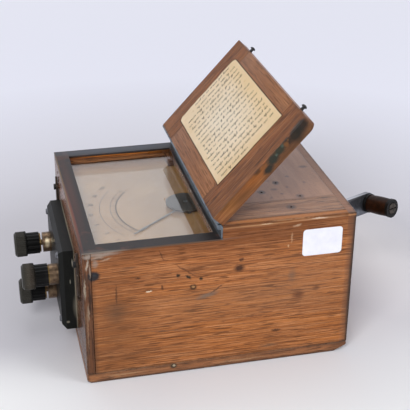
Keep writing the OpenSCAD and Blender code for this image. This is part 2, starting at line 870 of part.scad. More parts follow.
module inner_gear_plate() {
    bearing_plate(inner_plate_x, 1, gear_plate_y, plate_top_z, shaft_bores);
}

module outer_gear_plate() {
    bearing_plate(outer_plate_x, -1, gear_plate_y, plate_top_z, shaft_bores);
}

module end_bearing_plate() {
    bearing_plate(end_plate_x, 1, [armature_y - end_plate_half_w, armature_y + end_plate_half_w],
        armature_z + end_plate_rise, [shaft_bores[2]]);
}

module armature_core() {
    pinion_turn = second_angle + 180 + 180 / armature_teeth;
    slot = slot_w / 2;
    color(iron) {
        difference() {
            rod_x(core_x, armature_y, armature_z, armature_l, armature_r);
            for (z = [web_half, -web_half - armature_r]) bar([core_x - 1, core_end_x + 1],
                around(armature_y, [-slot, slot]), around(armature_z, [z, z + armature_r]));
        }
        rod_x(end_plate_x, armature_y, armature_z, outer_plate_x + plate_t - end_plate_x, armature_shaft_r);
        sheet_x(second_gear_x - 1, armature_y, armature_z, wheel_w + 2, pinion_turn)
            polygon(gear_points(module_b, armature_teeth, tooth_play));
    }
}

module armature_winding() {
    half = slot_w / 2 - 0.2;
    high = armature_r - 2.2;
    color("#7a3b1c") difference() {
        bar([core_x - 4, core_end_x + 4], around(armature_y, [-half, half]),
            around(armature_z, [-high, high]));
        bar([core_x - 0.2, core_end_x + 0.2], around(armature_y, [-half - 1, half + 1]),
            around(armature_z, [-web_half - 0.2, web_half + 0.2]));
        rod_x(core_x - 6, armature_y, armature_z, armature_l + 12, armature_shaft_r + 0.2);
    }
}

module commutator() {
    split = 0.5;
    color("#a8693f") difference() {
        rod_x(commutator_x, armature_y, armature_z, commutator_l, commutator_r);
        rod_x(commutator_x - 1, armature_y, armature_z, commutator_l + 2, armature_shaft_r + seat);
        bar([commutator_x - 1, commutator_x + commutator_l + 1], around(armature_y, [-split, split]),
            around(armature_z, [-commutator_r - 1, commutator_r + 1]));
    }
}

module brushes() {
    half = brush_w / 2;
    near = commutator_r + air;
    color(iron) for (side = [-1, 1]) translate([brush_x, armature_y, armature_z])
        bar([0, brush_w], to_side(near, near + brush_l, side), [-half, half]);
}

module brush_holders() {
    half = brush_w / 2 + 0.1;
    near = commutator_r + 3;
    wall = 3;
    color(ebonite) for (side = [-1, 1]) translate([0, armature_y, armature_z]) difference() {
        bar([brush_x - wall, inner_plate_x], to_side(near, near + brush_l - 5, side),
            [-half - wall, half + wall]);
        bar([brush_x - 0.1, brush_x + brush_w + 0.1], to_side(near - 1, near + brush_l, side),
            [-half, half]);
    }
}

// Places children at the start of each field magnet
module magnet_places() {
    pitch = (armature_l - magnet_l) / max(1, magnet_n - 1);
    for (k = [0:magnet_n - 1]) translate([core_x + pitch * k, armature_y, 0]) children();
}

module field_magnets() {
    outer = magnet_reach + magnet_bar;
    color("#5b2f2a") magnet_places() {
        for (y = [-outer, magnet_reach]) bar([0, magnet_l], [y, y + magnet_bar], [base_t, magnet_arch_z]);
        difference() {
            rod_x(0, 0, magnet_arch_z, magnet_l, outer);
            rod_x(-1, 0, magnet_arch_z, magnet_l + 2, magnet_reach);
            bar([-1, magnet_l + 1], [-outer - 1, outer + 1], [magnet_arch_z - outer - 1, magnet_arch_z]);
        }
    }
}

module pole_pieces() {
    half_h = armature_r - 1;
    color(iron) difference() {
        for (y = [-magnet_reach, 8]) bar([core_x, core_end_x], around(armature_y, [y, y + magnet_reach - 8]),
            around(armature_z, [-half_h, half_h]));
        rod_x(core_x - 1, armature_y, armature_z, armature_l + 2, armature_r + armature_gap);
    }
}

// Movement

module dial_plate() {
    x = [front_x + board_t + 1.5, step_x + 6];
    color("#a8946a") difference() {
        union() {
            bar(x, [-inner_y + 1.5, inner_y - 1.5], [dial_z - dial_t, dial_z]);
            translate([pivot_x, pivot_y, 0]) for (a = [-stop_angle, stop_angle]) rotate([0, 0, 180 + a])
                translate([stop_place, 0, dial_z - dial_t]) cylinder(h = dial_t + 2, r = stop_r);
        }
        translate([pivot_x, pivot_y, dial_z - 5]) cylinder(h = 6, r = 5);
        for (spot = pillar_spots) translate([spot[0], spot[1], dial_z - 5])
            cylinder(h = 6, r = pillar_pin_r);
    }
}

module dial_pillars() {
    color(brass) for (spot = pillar_spots) translate([spot[0], spot[1], deck_top_z]) {
        cylinder(h = deck_drop - dial_t, r = pillar_r);
        cylinder(h = deck_drop, r = pillar_pin_r - seat);
    }
}

module movement_magnet() {
    arc_x = front_x + bow_in;
    outer = movement_reach + movement_leg;
    z = [deck_top_z, deck_top_z + magnet_h];
    color("#5b2f2a") {
        for (y = [-outer, movement_reach])
            bar([arc_x, pivot_x + pole_half_l], around(pivot_y, [y, y + movement_leg]), z);
        translate([arc_x, pivot_y, z[0]]) difference() {
            cylinder(h = magnet_h, r = outer);
            translate([0, 0, -1]) cylinder(h = magnet_h + 2, r = movement_reach);
            translate([0, -outer - 1, -1]) cube([outer + 1, 2 * outer + 2, magnet_h + 2]);
        }
    }
}

module movement_poles() {
    inside = core_r - 3;
    z = [deck_top_z, deck_top_z + pole_h];
    color(iron) difference() {
        for (y = [-movement_reach, inside]) bar([pivot_x - pole_half_l, pivot_x + pole_half_l],
            around(pivot_y, [y, y + movement_reach - inside]), z);
        translate([pivot_x, pivot_y, z[0] - 1]) cylinder(h = pole_h + 2, r = pole_bore_r);
    }
}

module movement_core() {
    z = [core_low_z + 2.5, core_top_z - 2.5];
    foot = [deck_back_x - pivot_x - 5, deck_back_x - pivot_x];
    color(iron) translate([pivot_x, pivot_y, 0]) {
        translate([0, 0, core_low_z]) cylinder(h = core_top_z - core_low_z, r = core_r);
        bar([core_r - 1, foot[1]], [-2.5, 2.5], z);
        bar(foot, [-2.5, 2.5], [deck_top_z, z[1]]);
    }
}

// Turns children drawn with the pointer along +X to the pointer's place at rest
module movement_pose() {
    translate([pivot_x, pivot_y, 0]) rotate([0, 0, 180 + pointer_rest]) children();
}

module moving_coil() {
    color("#8a4a22") movement_pose() {
        difference() {
            bar([-coil_w / 2, coil_w / 2], [-coil_out, coil_out], [coil_low_z, coil_top_z]);
            bar([-coil_w, coil_w], [-coil_in, coil_in], [coil_low_z + coil_bar, coil_top_z - coil_bar]);
        }
        translate([0, 0, coil_top_z]) cylinder(h = shoulder_z - coil_top_z, r = staff_r);
        translate([0, 0, shoulder_z]) cylinder(h = pivot_l, r = pivot_r);
        translate([0, 0, low_shoulder_z]) cylinder(h = coil_low_z - low_shoulder_z, r = staff_r);
        translate([0, 0, low_shoulder_z - pivot_l]) cylinder(h = pivot_l, r = pivot_r);
    }
}

module pointer() {
    blade = [pointer_l - 21, pointer_l - 15];
    color(iron) movement_pose() translate([0, 0, pointer_z]) difference() {
        union() {
            cylinder(h = 1, r = 3);
            linear_extrude(0.6) polygon([[-pointer_tail, -1], [-pointer_tail, 1], [0, 1.2],
                [blade[0], 0.7], [blade[1], 1.5], [pointer_l, 0.2], [pointer_l, -0.2],
                [blade[1], -1.5], [blade[0], -0.7], [0, -1.2]]);
        }
        translate([0, 0, -1]) cylinder(h = 3, r = staff_r + seat);
    }
}

module movement_bridge() {
    color("#40362c") translate([pivot_x, pivot_y, 0]) difference() {
        union() {
            intersection() {
                translate([0, 0, bridge_z]) cylinder(h = bridge_t, r = bridge_r);
                bar([-bridge_r, bridge_back], [-bridge_r, bridge_r],
                    [bridge_z - 1, bridge_z + bridge_t + 1]);
            }
            for (y = [-1, 1] * (bridge_r - 3.5)) translate([0, y, dial_z])
                cylinder(h = bridge_z - dial_z + 1, r = 2);
        }
        translate([0, 0, bridge_z - 1]) cylinder(h = bridge_t + 2, r = jewel_r + seat);
    }
}

// Screw with a cup for a pivot in its upper or lower end
module jewel(r, low, high, cup_z) {
    difference() {
        translate([0, 0, low]) cylinder(h = high - low, r = r);
        translate([0, 0, cup_z]) cylinder(h = pivot_l + air, r = pivot_r + run);
    }
}

module jewel_screws() {
    low = low_shoulder_z - 0.15;
    high = shoulder_z + 0.15;
    color(steel) translate([pivot_x, pivot_y, 0]) {
        jewel(jewel_r, high, bridge_z + bridge_t + 0.3, high - 0.1);
        jewel(low_jewel_r - seat, deck_z + 1, low, low - pivot_l - air + 0.1);
    }
}

base_board();
near_side_board();
far_side_board();
front_board();
rear_board();
top_panel();
top_end_strips();
window_frame();
window_bezel();
window_glass();
glazing_bead();
deck_board();
lid_panel();
lid_end_strips();
paper_label();
lid_studs();
hinge_case_leaf();
hinge_lid_leaf();
hinge_pin();
near_catch();
far_catch();
catch_screws();
terminal_block();
block_screws();
terminal_stems();
terminal_nuts();
far_washer();
near_washer();
low_washer();
far_knob();
near_knob();
low_knob();
crank_bush();
crank_shaft();
crank_gear();
fold_pin();
crank_arm();
grip_spindle();
crank_grip();
grip_rings();
inner_gear_plate();
outer_gear_plate();
end_bearing_plate();
lay_gear();
armature_core();
armature_winding();
commutator();
brushes();
brush_holders();
field_magnets();
pole_pieces();
dial_plate();
dial_pillars();
movement_magnet();
movement_poles();
movement_core();
moving_coil();
pointer();
movement_bridge();
jewel_screws();
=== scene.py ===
import math
import random

import bmesh
import bpy
from mathutils import Matrix, Vector, noise


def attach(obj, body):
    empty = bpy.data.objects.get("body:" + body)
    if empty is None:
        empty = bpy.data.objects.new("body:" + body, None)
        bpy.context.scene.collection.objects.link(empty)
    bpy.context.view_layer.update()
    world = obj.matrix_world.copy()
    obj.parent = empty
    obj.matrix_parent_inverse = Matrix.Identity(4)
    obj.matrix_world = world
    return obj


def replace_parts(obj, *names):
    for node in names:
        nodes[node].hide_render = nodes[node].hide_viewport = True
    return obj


# Hand-cranked ohmmeter in an oak case, its half lid open. Blender works in metres, the tables here in mm.
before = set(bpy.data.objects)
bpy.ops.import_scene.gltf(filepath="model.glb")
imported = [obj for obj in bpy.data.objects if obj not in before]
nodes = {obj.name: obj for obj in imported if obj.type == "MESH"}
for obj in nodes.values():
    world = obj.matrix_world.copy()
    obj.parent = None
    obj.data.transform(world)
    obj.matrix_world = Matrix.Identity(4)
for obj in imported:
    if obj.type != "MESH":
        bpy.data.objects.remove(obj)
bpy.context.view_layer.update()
scene = bpy.context.scene
mm = 0.001
print("frame loaded")

weld = 2e-6  # Points nearer than this, in m, are one
near = 1e-5  # Places nearer than this, in m, count as the same
lid = {"hinge": (-2.8, 0.0, 147.95), "open": 132.8}  # The hinge line's place, and the opening in degrees

hingeAt = Vector(lid["hinge"]) * mm
lidTurn = (Matrix.Translation(hingeAt) @ Matrix.Rotation(math.radians(lid["open"]), 4, "Y")
           @ Matrix.Translation(-hingeAt))


def linear(hexCode):
    parts = [int(hexCode[i:i + 2], 16) / 255 for i in (1, 3, 5)]
    return [p / 12.92 if p <= 0.04045 else ((p + 0.055) / 1.055) ** 2.4 for p in parts] + [1.0]


def addNode(tree, kind, settings=None, links=None):
    node = tree.nodes.new("ShaderNode" + kind)
    for key, value in (settings or {}).items():
        if isinstance(key, int) or key in node.inputs:
            node.inputs[key].default_value = value
        else:
            setattr(node, key, value)
    for key, source in (links or {}).items():
        socket = source.outputs[0] if isinstance(source, bpy.types.Node) else source
        tree.links.new(socket, node.inputs[key])
    return node


def startMaterial(name):
    material = bpy.data.materials.new(name)
    material.use_nodes = True
    material.node_tree.nodes.clear()
    return material, material.node_tree


# Coordinates in mm, turned back to the closed lid where the piece is on the lid
def pieceCoordinates(tree, onLid=False):
    point = addNode(tree, "TexCoord").outputs["Object"]
    perMetre = (1000, 1000, 1000)
    if not onLid:
        return addNode(tree, "Mapping", {"Scale": perMetre}, {"Vector": point})
    shifted = addNode(tree, "VectorMath", {"operation": "SUBTRACT", 1: hingeAt}, {0: point})
    return addNode(tree, "Mapping", {
        "Scale": perMetre, "Rotation": (0, -math.radians(lid["open"]), 0), "Location": lid["hinge"]},
        {"Vector": shifted})


# Distance in mm to the nearest edge of a box, from a point on one of its faces
def edgeDistance(tree, coordinates, low, high):
    fromLow = addNode(tree, "VectorMath", {"operation": "SUBTRACT", 1: low}, {0: coordinates})
    fromHigh = addNode(tree, "VectorMath", {"operation": "SUBTRACT", 0: high}, {1: coordinates})
    nearest = addNode(tree, "VectorMath", {"operation": "MINIMUM"}, {0: fromLow, 1: fromHigh})
    split = addNode(tree, "SeparateXYZ", links={0: nearest})
    a, b, c = split.outputs
    least = addNode(tree, "Math", {"operation": "MINIMUM"}, {0: a, 1: b})
    most = addNode(tree, "Math", {"operation": "MAXIMUM"}, {0: a, 1: b})
    other = addNode(tree, "Math", {"operation": "MINIMUM"}, {0: most, 1: c})
    return addNode(tree, "Math", {"operation": "MAXIMUM"}, {0: least, 1: other})


# A stain, knot, scuff or scratch, or a painted shade, highlight or pool of light, as an ellipsoid laid over the
# colour. Each is a row of its middle and half sizes in mm, its colour, how much of it shows, how soft its rim
# is, and its turn about Y in degrees.
markDefaults = (0.8, 0.35, 0)


def markOn(tree, colour, space, mark):
    at, size, hexCode, share, soft, turn = (*mark, *markDefaults[len(mark) - 3:])
    local = addNode(tree, "Mapping", {
        "vector_type": "TEXTURE", "Location": at, "Scale": size, "Rotation": (0, math.radians(turn), 0)},
        {"Vector": space})
    reach = addNode(tree, "VectorMath", {"operation": "LENGTH"}, {0: local})
    cover = addNode(tree, "MapRange", {"From Min": 1 + soft, "From Max": 1 - soft, "To Max": share},
                    {"Value": reach.outputs["Value"]})
    return addNode(tree, "MixRGB", {"Color2": linear(hexCode)}, {"Fac": cover, "Color1": colour})


# Oak: open-pored hardwood, planed, stained and shellacked, then worn and handled.
# That gives long straight fibres, dark pore lines, dull brown handling stains and lighter corners.
lookKeys = ("light", "mid", "pore", "glow", "stain", "stainShare", "seed")
oakLooks = {
    "side": ("#b06b35", "#a16133", "#5c3418", "#cf9060", "#774c30", 0.42, 11),
    "end": ("#7d4d2e", "#603b22", "#27160d", "#80593e", "#38241a", 0.5, 53),
    "top": ("#a3785a", "#946a4f", "#5f463b", "#b38a70", "#775646", 0.4, 71),
    "topEnd": ("#ac7c57", "#936747", "#553626", "#bd9474", "#755c4d", 0.45, 77),
    "lid": ("#ab7550", "#966545", "#523322", "#bb8b69", "#7a5c4e", 0.4, 91),
    "lidEnd": ("#8f5630", "#784726", "#412517", "#b27c50", "#6b4a33", 0.35, 97),
    "base": ("#a1683f", "#8b5735", "#4a2c1a", "#b98358", "#664430", 0.5, 131),
    "inner": ("#a5622f", "#7c421c", "#35190b", "#c97f3f", "#3c2114", 0.6, 151),
}
grainTurns = {"x": (0, 0, 0), "y": (0, 0, math.pi / 2), "z": (0, math.pi / 2, 0)}

# Noise drawn out along the grain: cycles per mm along and across it, detail, the span of the noise that shows,
# its share, and its offset
grainLayers = {
    "bands": (0.004, 0.07, 2, (0.36, 0.64), 1, 0),
    # Fibres a mm or so apart and 40 mm long, coarser than the real ones so that they show
    "darkFibres": (0.018, 1.1, 3, (0.5, 0.63), 0.62, 40),
    "lightFibres": (0.018, 1.15, 3, (0.49, 0.62), 0.74, 90),
    # Pore lines 1 mm wide and 12 mm long, where the real ones are a third of that
    "pores": (0.045, 0.95, 1, (0.57, 0.62), 0.85, 140),
    # Handling stains
    "stains": (0.009, 0.05, 3, (0.45, 0.78), 1, 200),
}

# Wear on oak: noise scales in cycles per mm, and reaches in mm from the board's edge
oakWear = {
    "wanderScale": 0.009, "wander": 1.6, "speckScale": 0.35, "speckFrom": 0.5, "speckTo": 0.66, "jitter": 1.5,
    "dirt": "#35251b", "dirtScale": 0.11, "dirtRagged": 5.0, "dirtFrom": 0.4, "dirtTo": -2.6,
    "rub": "#b28a66", "rubScale": 0.028, "rubFrom": 1.3, "rubTo": 0.4, "rubPartFrom": 0.53, "rubPartTo": 0.6,
    "endFrom": 0.7, "relief": 0.3, "reliefHeight": 0.0003, "shinier": 0.06, "duller": 0.2,
}


# "open" moves an end of the box outwards in mm where the board meets its neighbour without a worn corner.
# "crossed" is an axis, and the grain's way on the faces that look along it.
def oakMaterial(name, low, high, settings):
    colours = dict(zip(lookKeys, oakLooks[settings["look"]]))
    seed = colours["seed"]  # Each look has its own part of the noise
    openLow, openHigh = settings.get("open", ((0, 0, 0), (0, 0, 0)))
    low = [a - b for a, b in zip(low, openLow)]
    high = [a + b for a, b in zip(high, openHigh)]
    material, tree = startMaterial(name)
    flat = pieceCoordinates(tree, settings.get("body") == "lid")
    shift = {"Location": (seed * 7, seed * 3, seed * 5)}
    grain = addNode(tree, "Mapping", {**shift, "Rotation": grainTurns[settings["grain"]]}, {"Vector": flat})
    if "crossed" in settings:
        axis, way = settings["crossed"]
        other = addNode(tree, "Mapping", {**shift, "Rotation": grainTurns[way]}, {"Vector": flat})
        normal = addNode(tree, "TexCoord").outputs["Normal"]
        looks = addNode(tree, "VectorMath", {"operation": "ABSOLUTE"}, {0: normal})
        split = addNode(tree, "SeparateXYZ", links={0: looks})
        isEnd = addNode(tree, "Math", {"operation": "GREATER_THAN", 1: oakWear["endFrom"]},
                        {0: split.outputs["xyz".index(axis)]})
        grain = addNode(tree, "MixRGB", links={"Fac": isEnd, "Color1": grain, "Color2": other})
    # The grain wanders a few mm over a hand's width
    wander = addNode(tree, "TexNoise", {"Scale": oakWear["wanderScale"], "Detail": 1.0}, {"Vector": grain})
    sway = (0, oakWear["wander"], oakWear["wander"])
    bend = addNode(tree, "VectorMath", {"operation": "MULTIPLY", 1: sway}, {0: wander.outputs["Color"]})
    bent = addNode(tree, "VectorMath", {"operation": "ADD"}, {0: grain, 1: bend})

    def layer(kind, scaled=1.0):
        along, across, detail, (least, most), share, offset = grainLayers[kind]
        space = addNode(tree, "Mapping", {"Scale": (along, across, across), "Location": (offset, offset, 0)},
                        {"Vector": bent})
        cloud = addNode(tree, "TexNoise", {"Scale": 1.0, "Detail": detail, "Roughness": 0.62},
                        {"Vector": space})
        return addNode(tree, "MapRange", {"From Min": least, "From Max": most, "To Max": share * scaled},
                       {"Value": cloud})

    fibre = settings.get("fibre", 1.0)
    darkFibres, lightFibres, pores = (layer(kind, fibre) for kind in ("darkFibres", "lightFibres", "pores"))
    stains = layer("stains", colours["stainShare"])
    roughened = addNode(tree, "TexNoise", {"Scale": oakWear["speckScale"], "Detail": 3.0, "Roughness": 0.7},
                        {"Vector": flat})
    # Dull specks a few mm wide, where the shellac has crazed
    specks = addNode(tree, "MapRange", {"From Min": oakWear["speckFrom"], "From Max": oakWear["speckTo"],
                                        "To Max": settings.get("mottle", 0.25)}, {"Value": roughened})
    colour = addNode(tree, "MixRGB", {"Color1": linear(colours["mid"]), "Color2": linear(colours["light"])},
                     {"Fac": layer("bands")})
    for tone, cover in (("glow", lightFibres), ("pore", darkFibres), ("pore", pores), ("stain", stains),
                        ("stain", specks)):
        colour = addNode(tree, "MixRGB", {"Color2": linear(colours[tone])}, {"Fac": cover, "Color1": colour})
    # Shades have smooth rims, marks have ragged ones
    for shade in settings.get("shades", ()):
        colour = markOn(tree, colour, flat, shade)
    spread = oakWear["jitter"]
    jitter = addNode(tree, "VectorMath", {"operation": "MULTIPLY_ADD", 1: (2 * spread,) * 3, 2: (-spread,) * 3},
                     {0: roughened.outputs["Color"]})
    ragged = addNode(tree, "VectorMath", {"operation": "ADD"}, {0: flat, 1: jitter})
    # Edges: soft dirt in the last 2 mm, and in some places the corner itself rubbed pale
    distance = edgeDistance(tree, flat, low, high)
    wide = addNode(tree, "TexNoise", {"Scale": oakWear["dirtScale"], "Detail": 4.0, "Roughness": 0.65},
                   {"Vector": flat})
    raggedDistance = addNode(tree, "Math", {"operation": "MULTIPLY_ADD", 1: -oakWear["dirtRagged"]},
                             {0: wide, 2: distance})
    dirt = addNode(tree, "MapRange", {"From Min": oakWear["dirtFrom"], "From Max": oakWear["dirtTo"],
                                      "To Max": settings.get("dirt", 0.6)}, {"Value": raggedDistance})
    rubbed = addNode(tree, "TexNoise", {"Scale": oakWear["rubScale"], "Detail": 6.0, "Roughness": 0.7},
                     {"Vector": grain})
    rubNear = addNode(tree, "MapRange", {"From Min": oakWear["rubFrom"], "From Max": oakWear["rubTo"]},
                      {"Value": distance})
    rubPart = addNode(tree, "MapRange", {"From Min": oakWear["rubPartFrom"], "From Max": oakWear["rubPartTo"],
                                         "To Max": settings.get("rub", 0.5)}, {"Value": rubbed})
    rub = addNode(tree, "Math", {"operation": "MULTIPLY"}, {0: rubNear, 1: rubPart})
    for tone, cover in (("dirt", dirt), ("rub", rub)):
        colour = addNode(tree, "MixRGB", {"Color2": linear(oakWear[tone])}, {"Fac": cover, "Color1": colour})
    for mark in settings.get("marks", ()):
        colour = markOn(tree, colour, ragged, mark)
    gloss = settings.get("gloss", 0.42)
    rough = addNode(tree, "MapRange", {"To Min": gloss - oakWear["shinier"],
                                       "To Max": gloss + oakWear["duller"]}, {"Value": stains})
    relief = addNode(tree, "Math", {"operation": "ADD"}, {0: pores, 1: darkFibres})
    bump = addNode(tree, "Bump", {"Strength": oakWear["relief"], "Distance": oakWear["reliefHeight"],
                                  "invert": True}, {"Height": relief})
    shader = addNode(tree, "BsdfPrincipled", {
        "IOR": 1.5, "Specular IOR Level": settings.get("shine", 0.3), "Coat Weight": settings.get("coat", 0.0),
        "Coat Roughness": 0.2}, {"Base Color": colour, "Roughness": rough, "Normal": bump})
    addNode(tree, "OutputMaterial", links={"Surface": shader})
    return material


# Plain surfaces: a base colour, a second colour in patches and worn flecks, whose sizes are in mm
wornLook = {"patchFrom": 0.35, "patchTo": 0.65, "fleckBand": 0.06, "shinier": 0.08, "duller": 0.12,
            "reliefScale": 1.6, "reliefHeight": 0.0002}


def wornMaterial(name, base, patch, patchSize, rough, metal=0.0, wear=None, wearSize=3.0, wearShare=0.45,
                 bump=0.15, coat=0.0, onLid=False, stretch=(1, 1, 1), shine=0.5, marks=()):
    material, tree = startMaterial(name)
    flat = pieceCoordinates(tree, onLid)
    spread = addNode(tree, "Mapping", {"Scale": stretch}, {"Vector": flat})
    patches = addNode(tree, "TexNoise", {"Scale": 1.0 / patchSize, "Detail": 5.0, "Roughness": 0.65},
                      {"Vector": spread})
    patchStep = addNode(tree, "MapRange", {"From Min": wornLook["patchFrom"], "From Max": wornLook["patchTo"]},
                        {"Value": patches})
    colour = addNode(tree, "MixRGB", {"Color1": linear(base), "Color2": linear(patch)}, {"Fac": patchStep})
    if wear:
        flecks = addNode(tree, "TexNoise", {"Scale": 1.0 / wearSize, "Detail": 3.0, "Roughness": 0.7},
                         {"Vector": spread})
        bare = 1 - wearShare
        fleckStep = addNode(tree, "MapRange", {"From Min": bare, "From Max": bare + wornLook["fleckBand"]},
                            {"Value": flecks})
        colour = addNode(tree, "MixRGB", {"Color2": linear(wear)}, {"Fac": fleckStep, "Color1": colour})
    for mark in marks:
        colour = markOn(tree, colour, flat, mark)
    roughStep = addNode(tree, "MapRange", {"To Min": rough - wornLook["shinier"],
                                           "To Max": rough + wornLook["duller"]}, {"Value": patches})
    fine = addNode(tree, "TexNoise", {"Scale": wornLook["reliefScale"], "Detail": 2.0}, {"Vector": flat})
    relief = addNode(tree, "Bump", {"Strength": bump, "Distance": wornLook["reliefHeight"]}, {"Height": fine})
    shader = addNode(tree, "BsdfPrincipled", {"Metallic": metal, "Coat Weight": coat, "Coat Roughness": 0.15,
                                              "Specular IOR Level": shine},
                     {"Base Color": colour, "Roughness": roughStep, "Normal": relief})
    addNode(tree, "OutputMaterial", links={"Surface": shader})
    return material


def newPiece(name, bm, material, body):
    mesh = bpy.data.meshes.new(name)
    bm.to_mesh(mesh)
    bm.free()
    mesh.materials.append(material)
    piece = bpy.data.objects.new(name, mesh)
    scene.collection.objects.link(piece)
    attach(piece, body)
    return piece


# A CAD board's mesh with its flat faces whole, turned to the closed lid if it is on the lid, and its box
def flatCopy(node, onLid):
    bm = bmesh.new()
    bm.from_mesh(nodes[node].data)
    if onLid:
        bmesh.ops.transform(bm, matrix=lidTurn.inverted(), verts=bm.verts)
    bmesh.ops.remove_doubles(bm, verts=bm.verts, dist=weld)
    bmesh.ops.dissolve_limit(bm, angle_limit=math.radians(0.5), verts=bm.verts, edges=bm.edges)
    low, high = (Vector([pick(v.co[i] for v in bm.verts) for i in range(3)]) for pick in (min, max))
    return bm, low, high


print("helpers ready")

# Marks on the case's near side or top, in rows that leave out the axis of that face
faces = {"side": (1, -110.8), "top": (2, 149.2)}


def onFace(face, depth, rows):
    axis, at = faces[face]
    return [((*middle[:axis], at, *middle[axis:]), (*size[:axis], depth, *size[axis:]), *look)
            for middle, size, *look in rows]


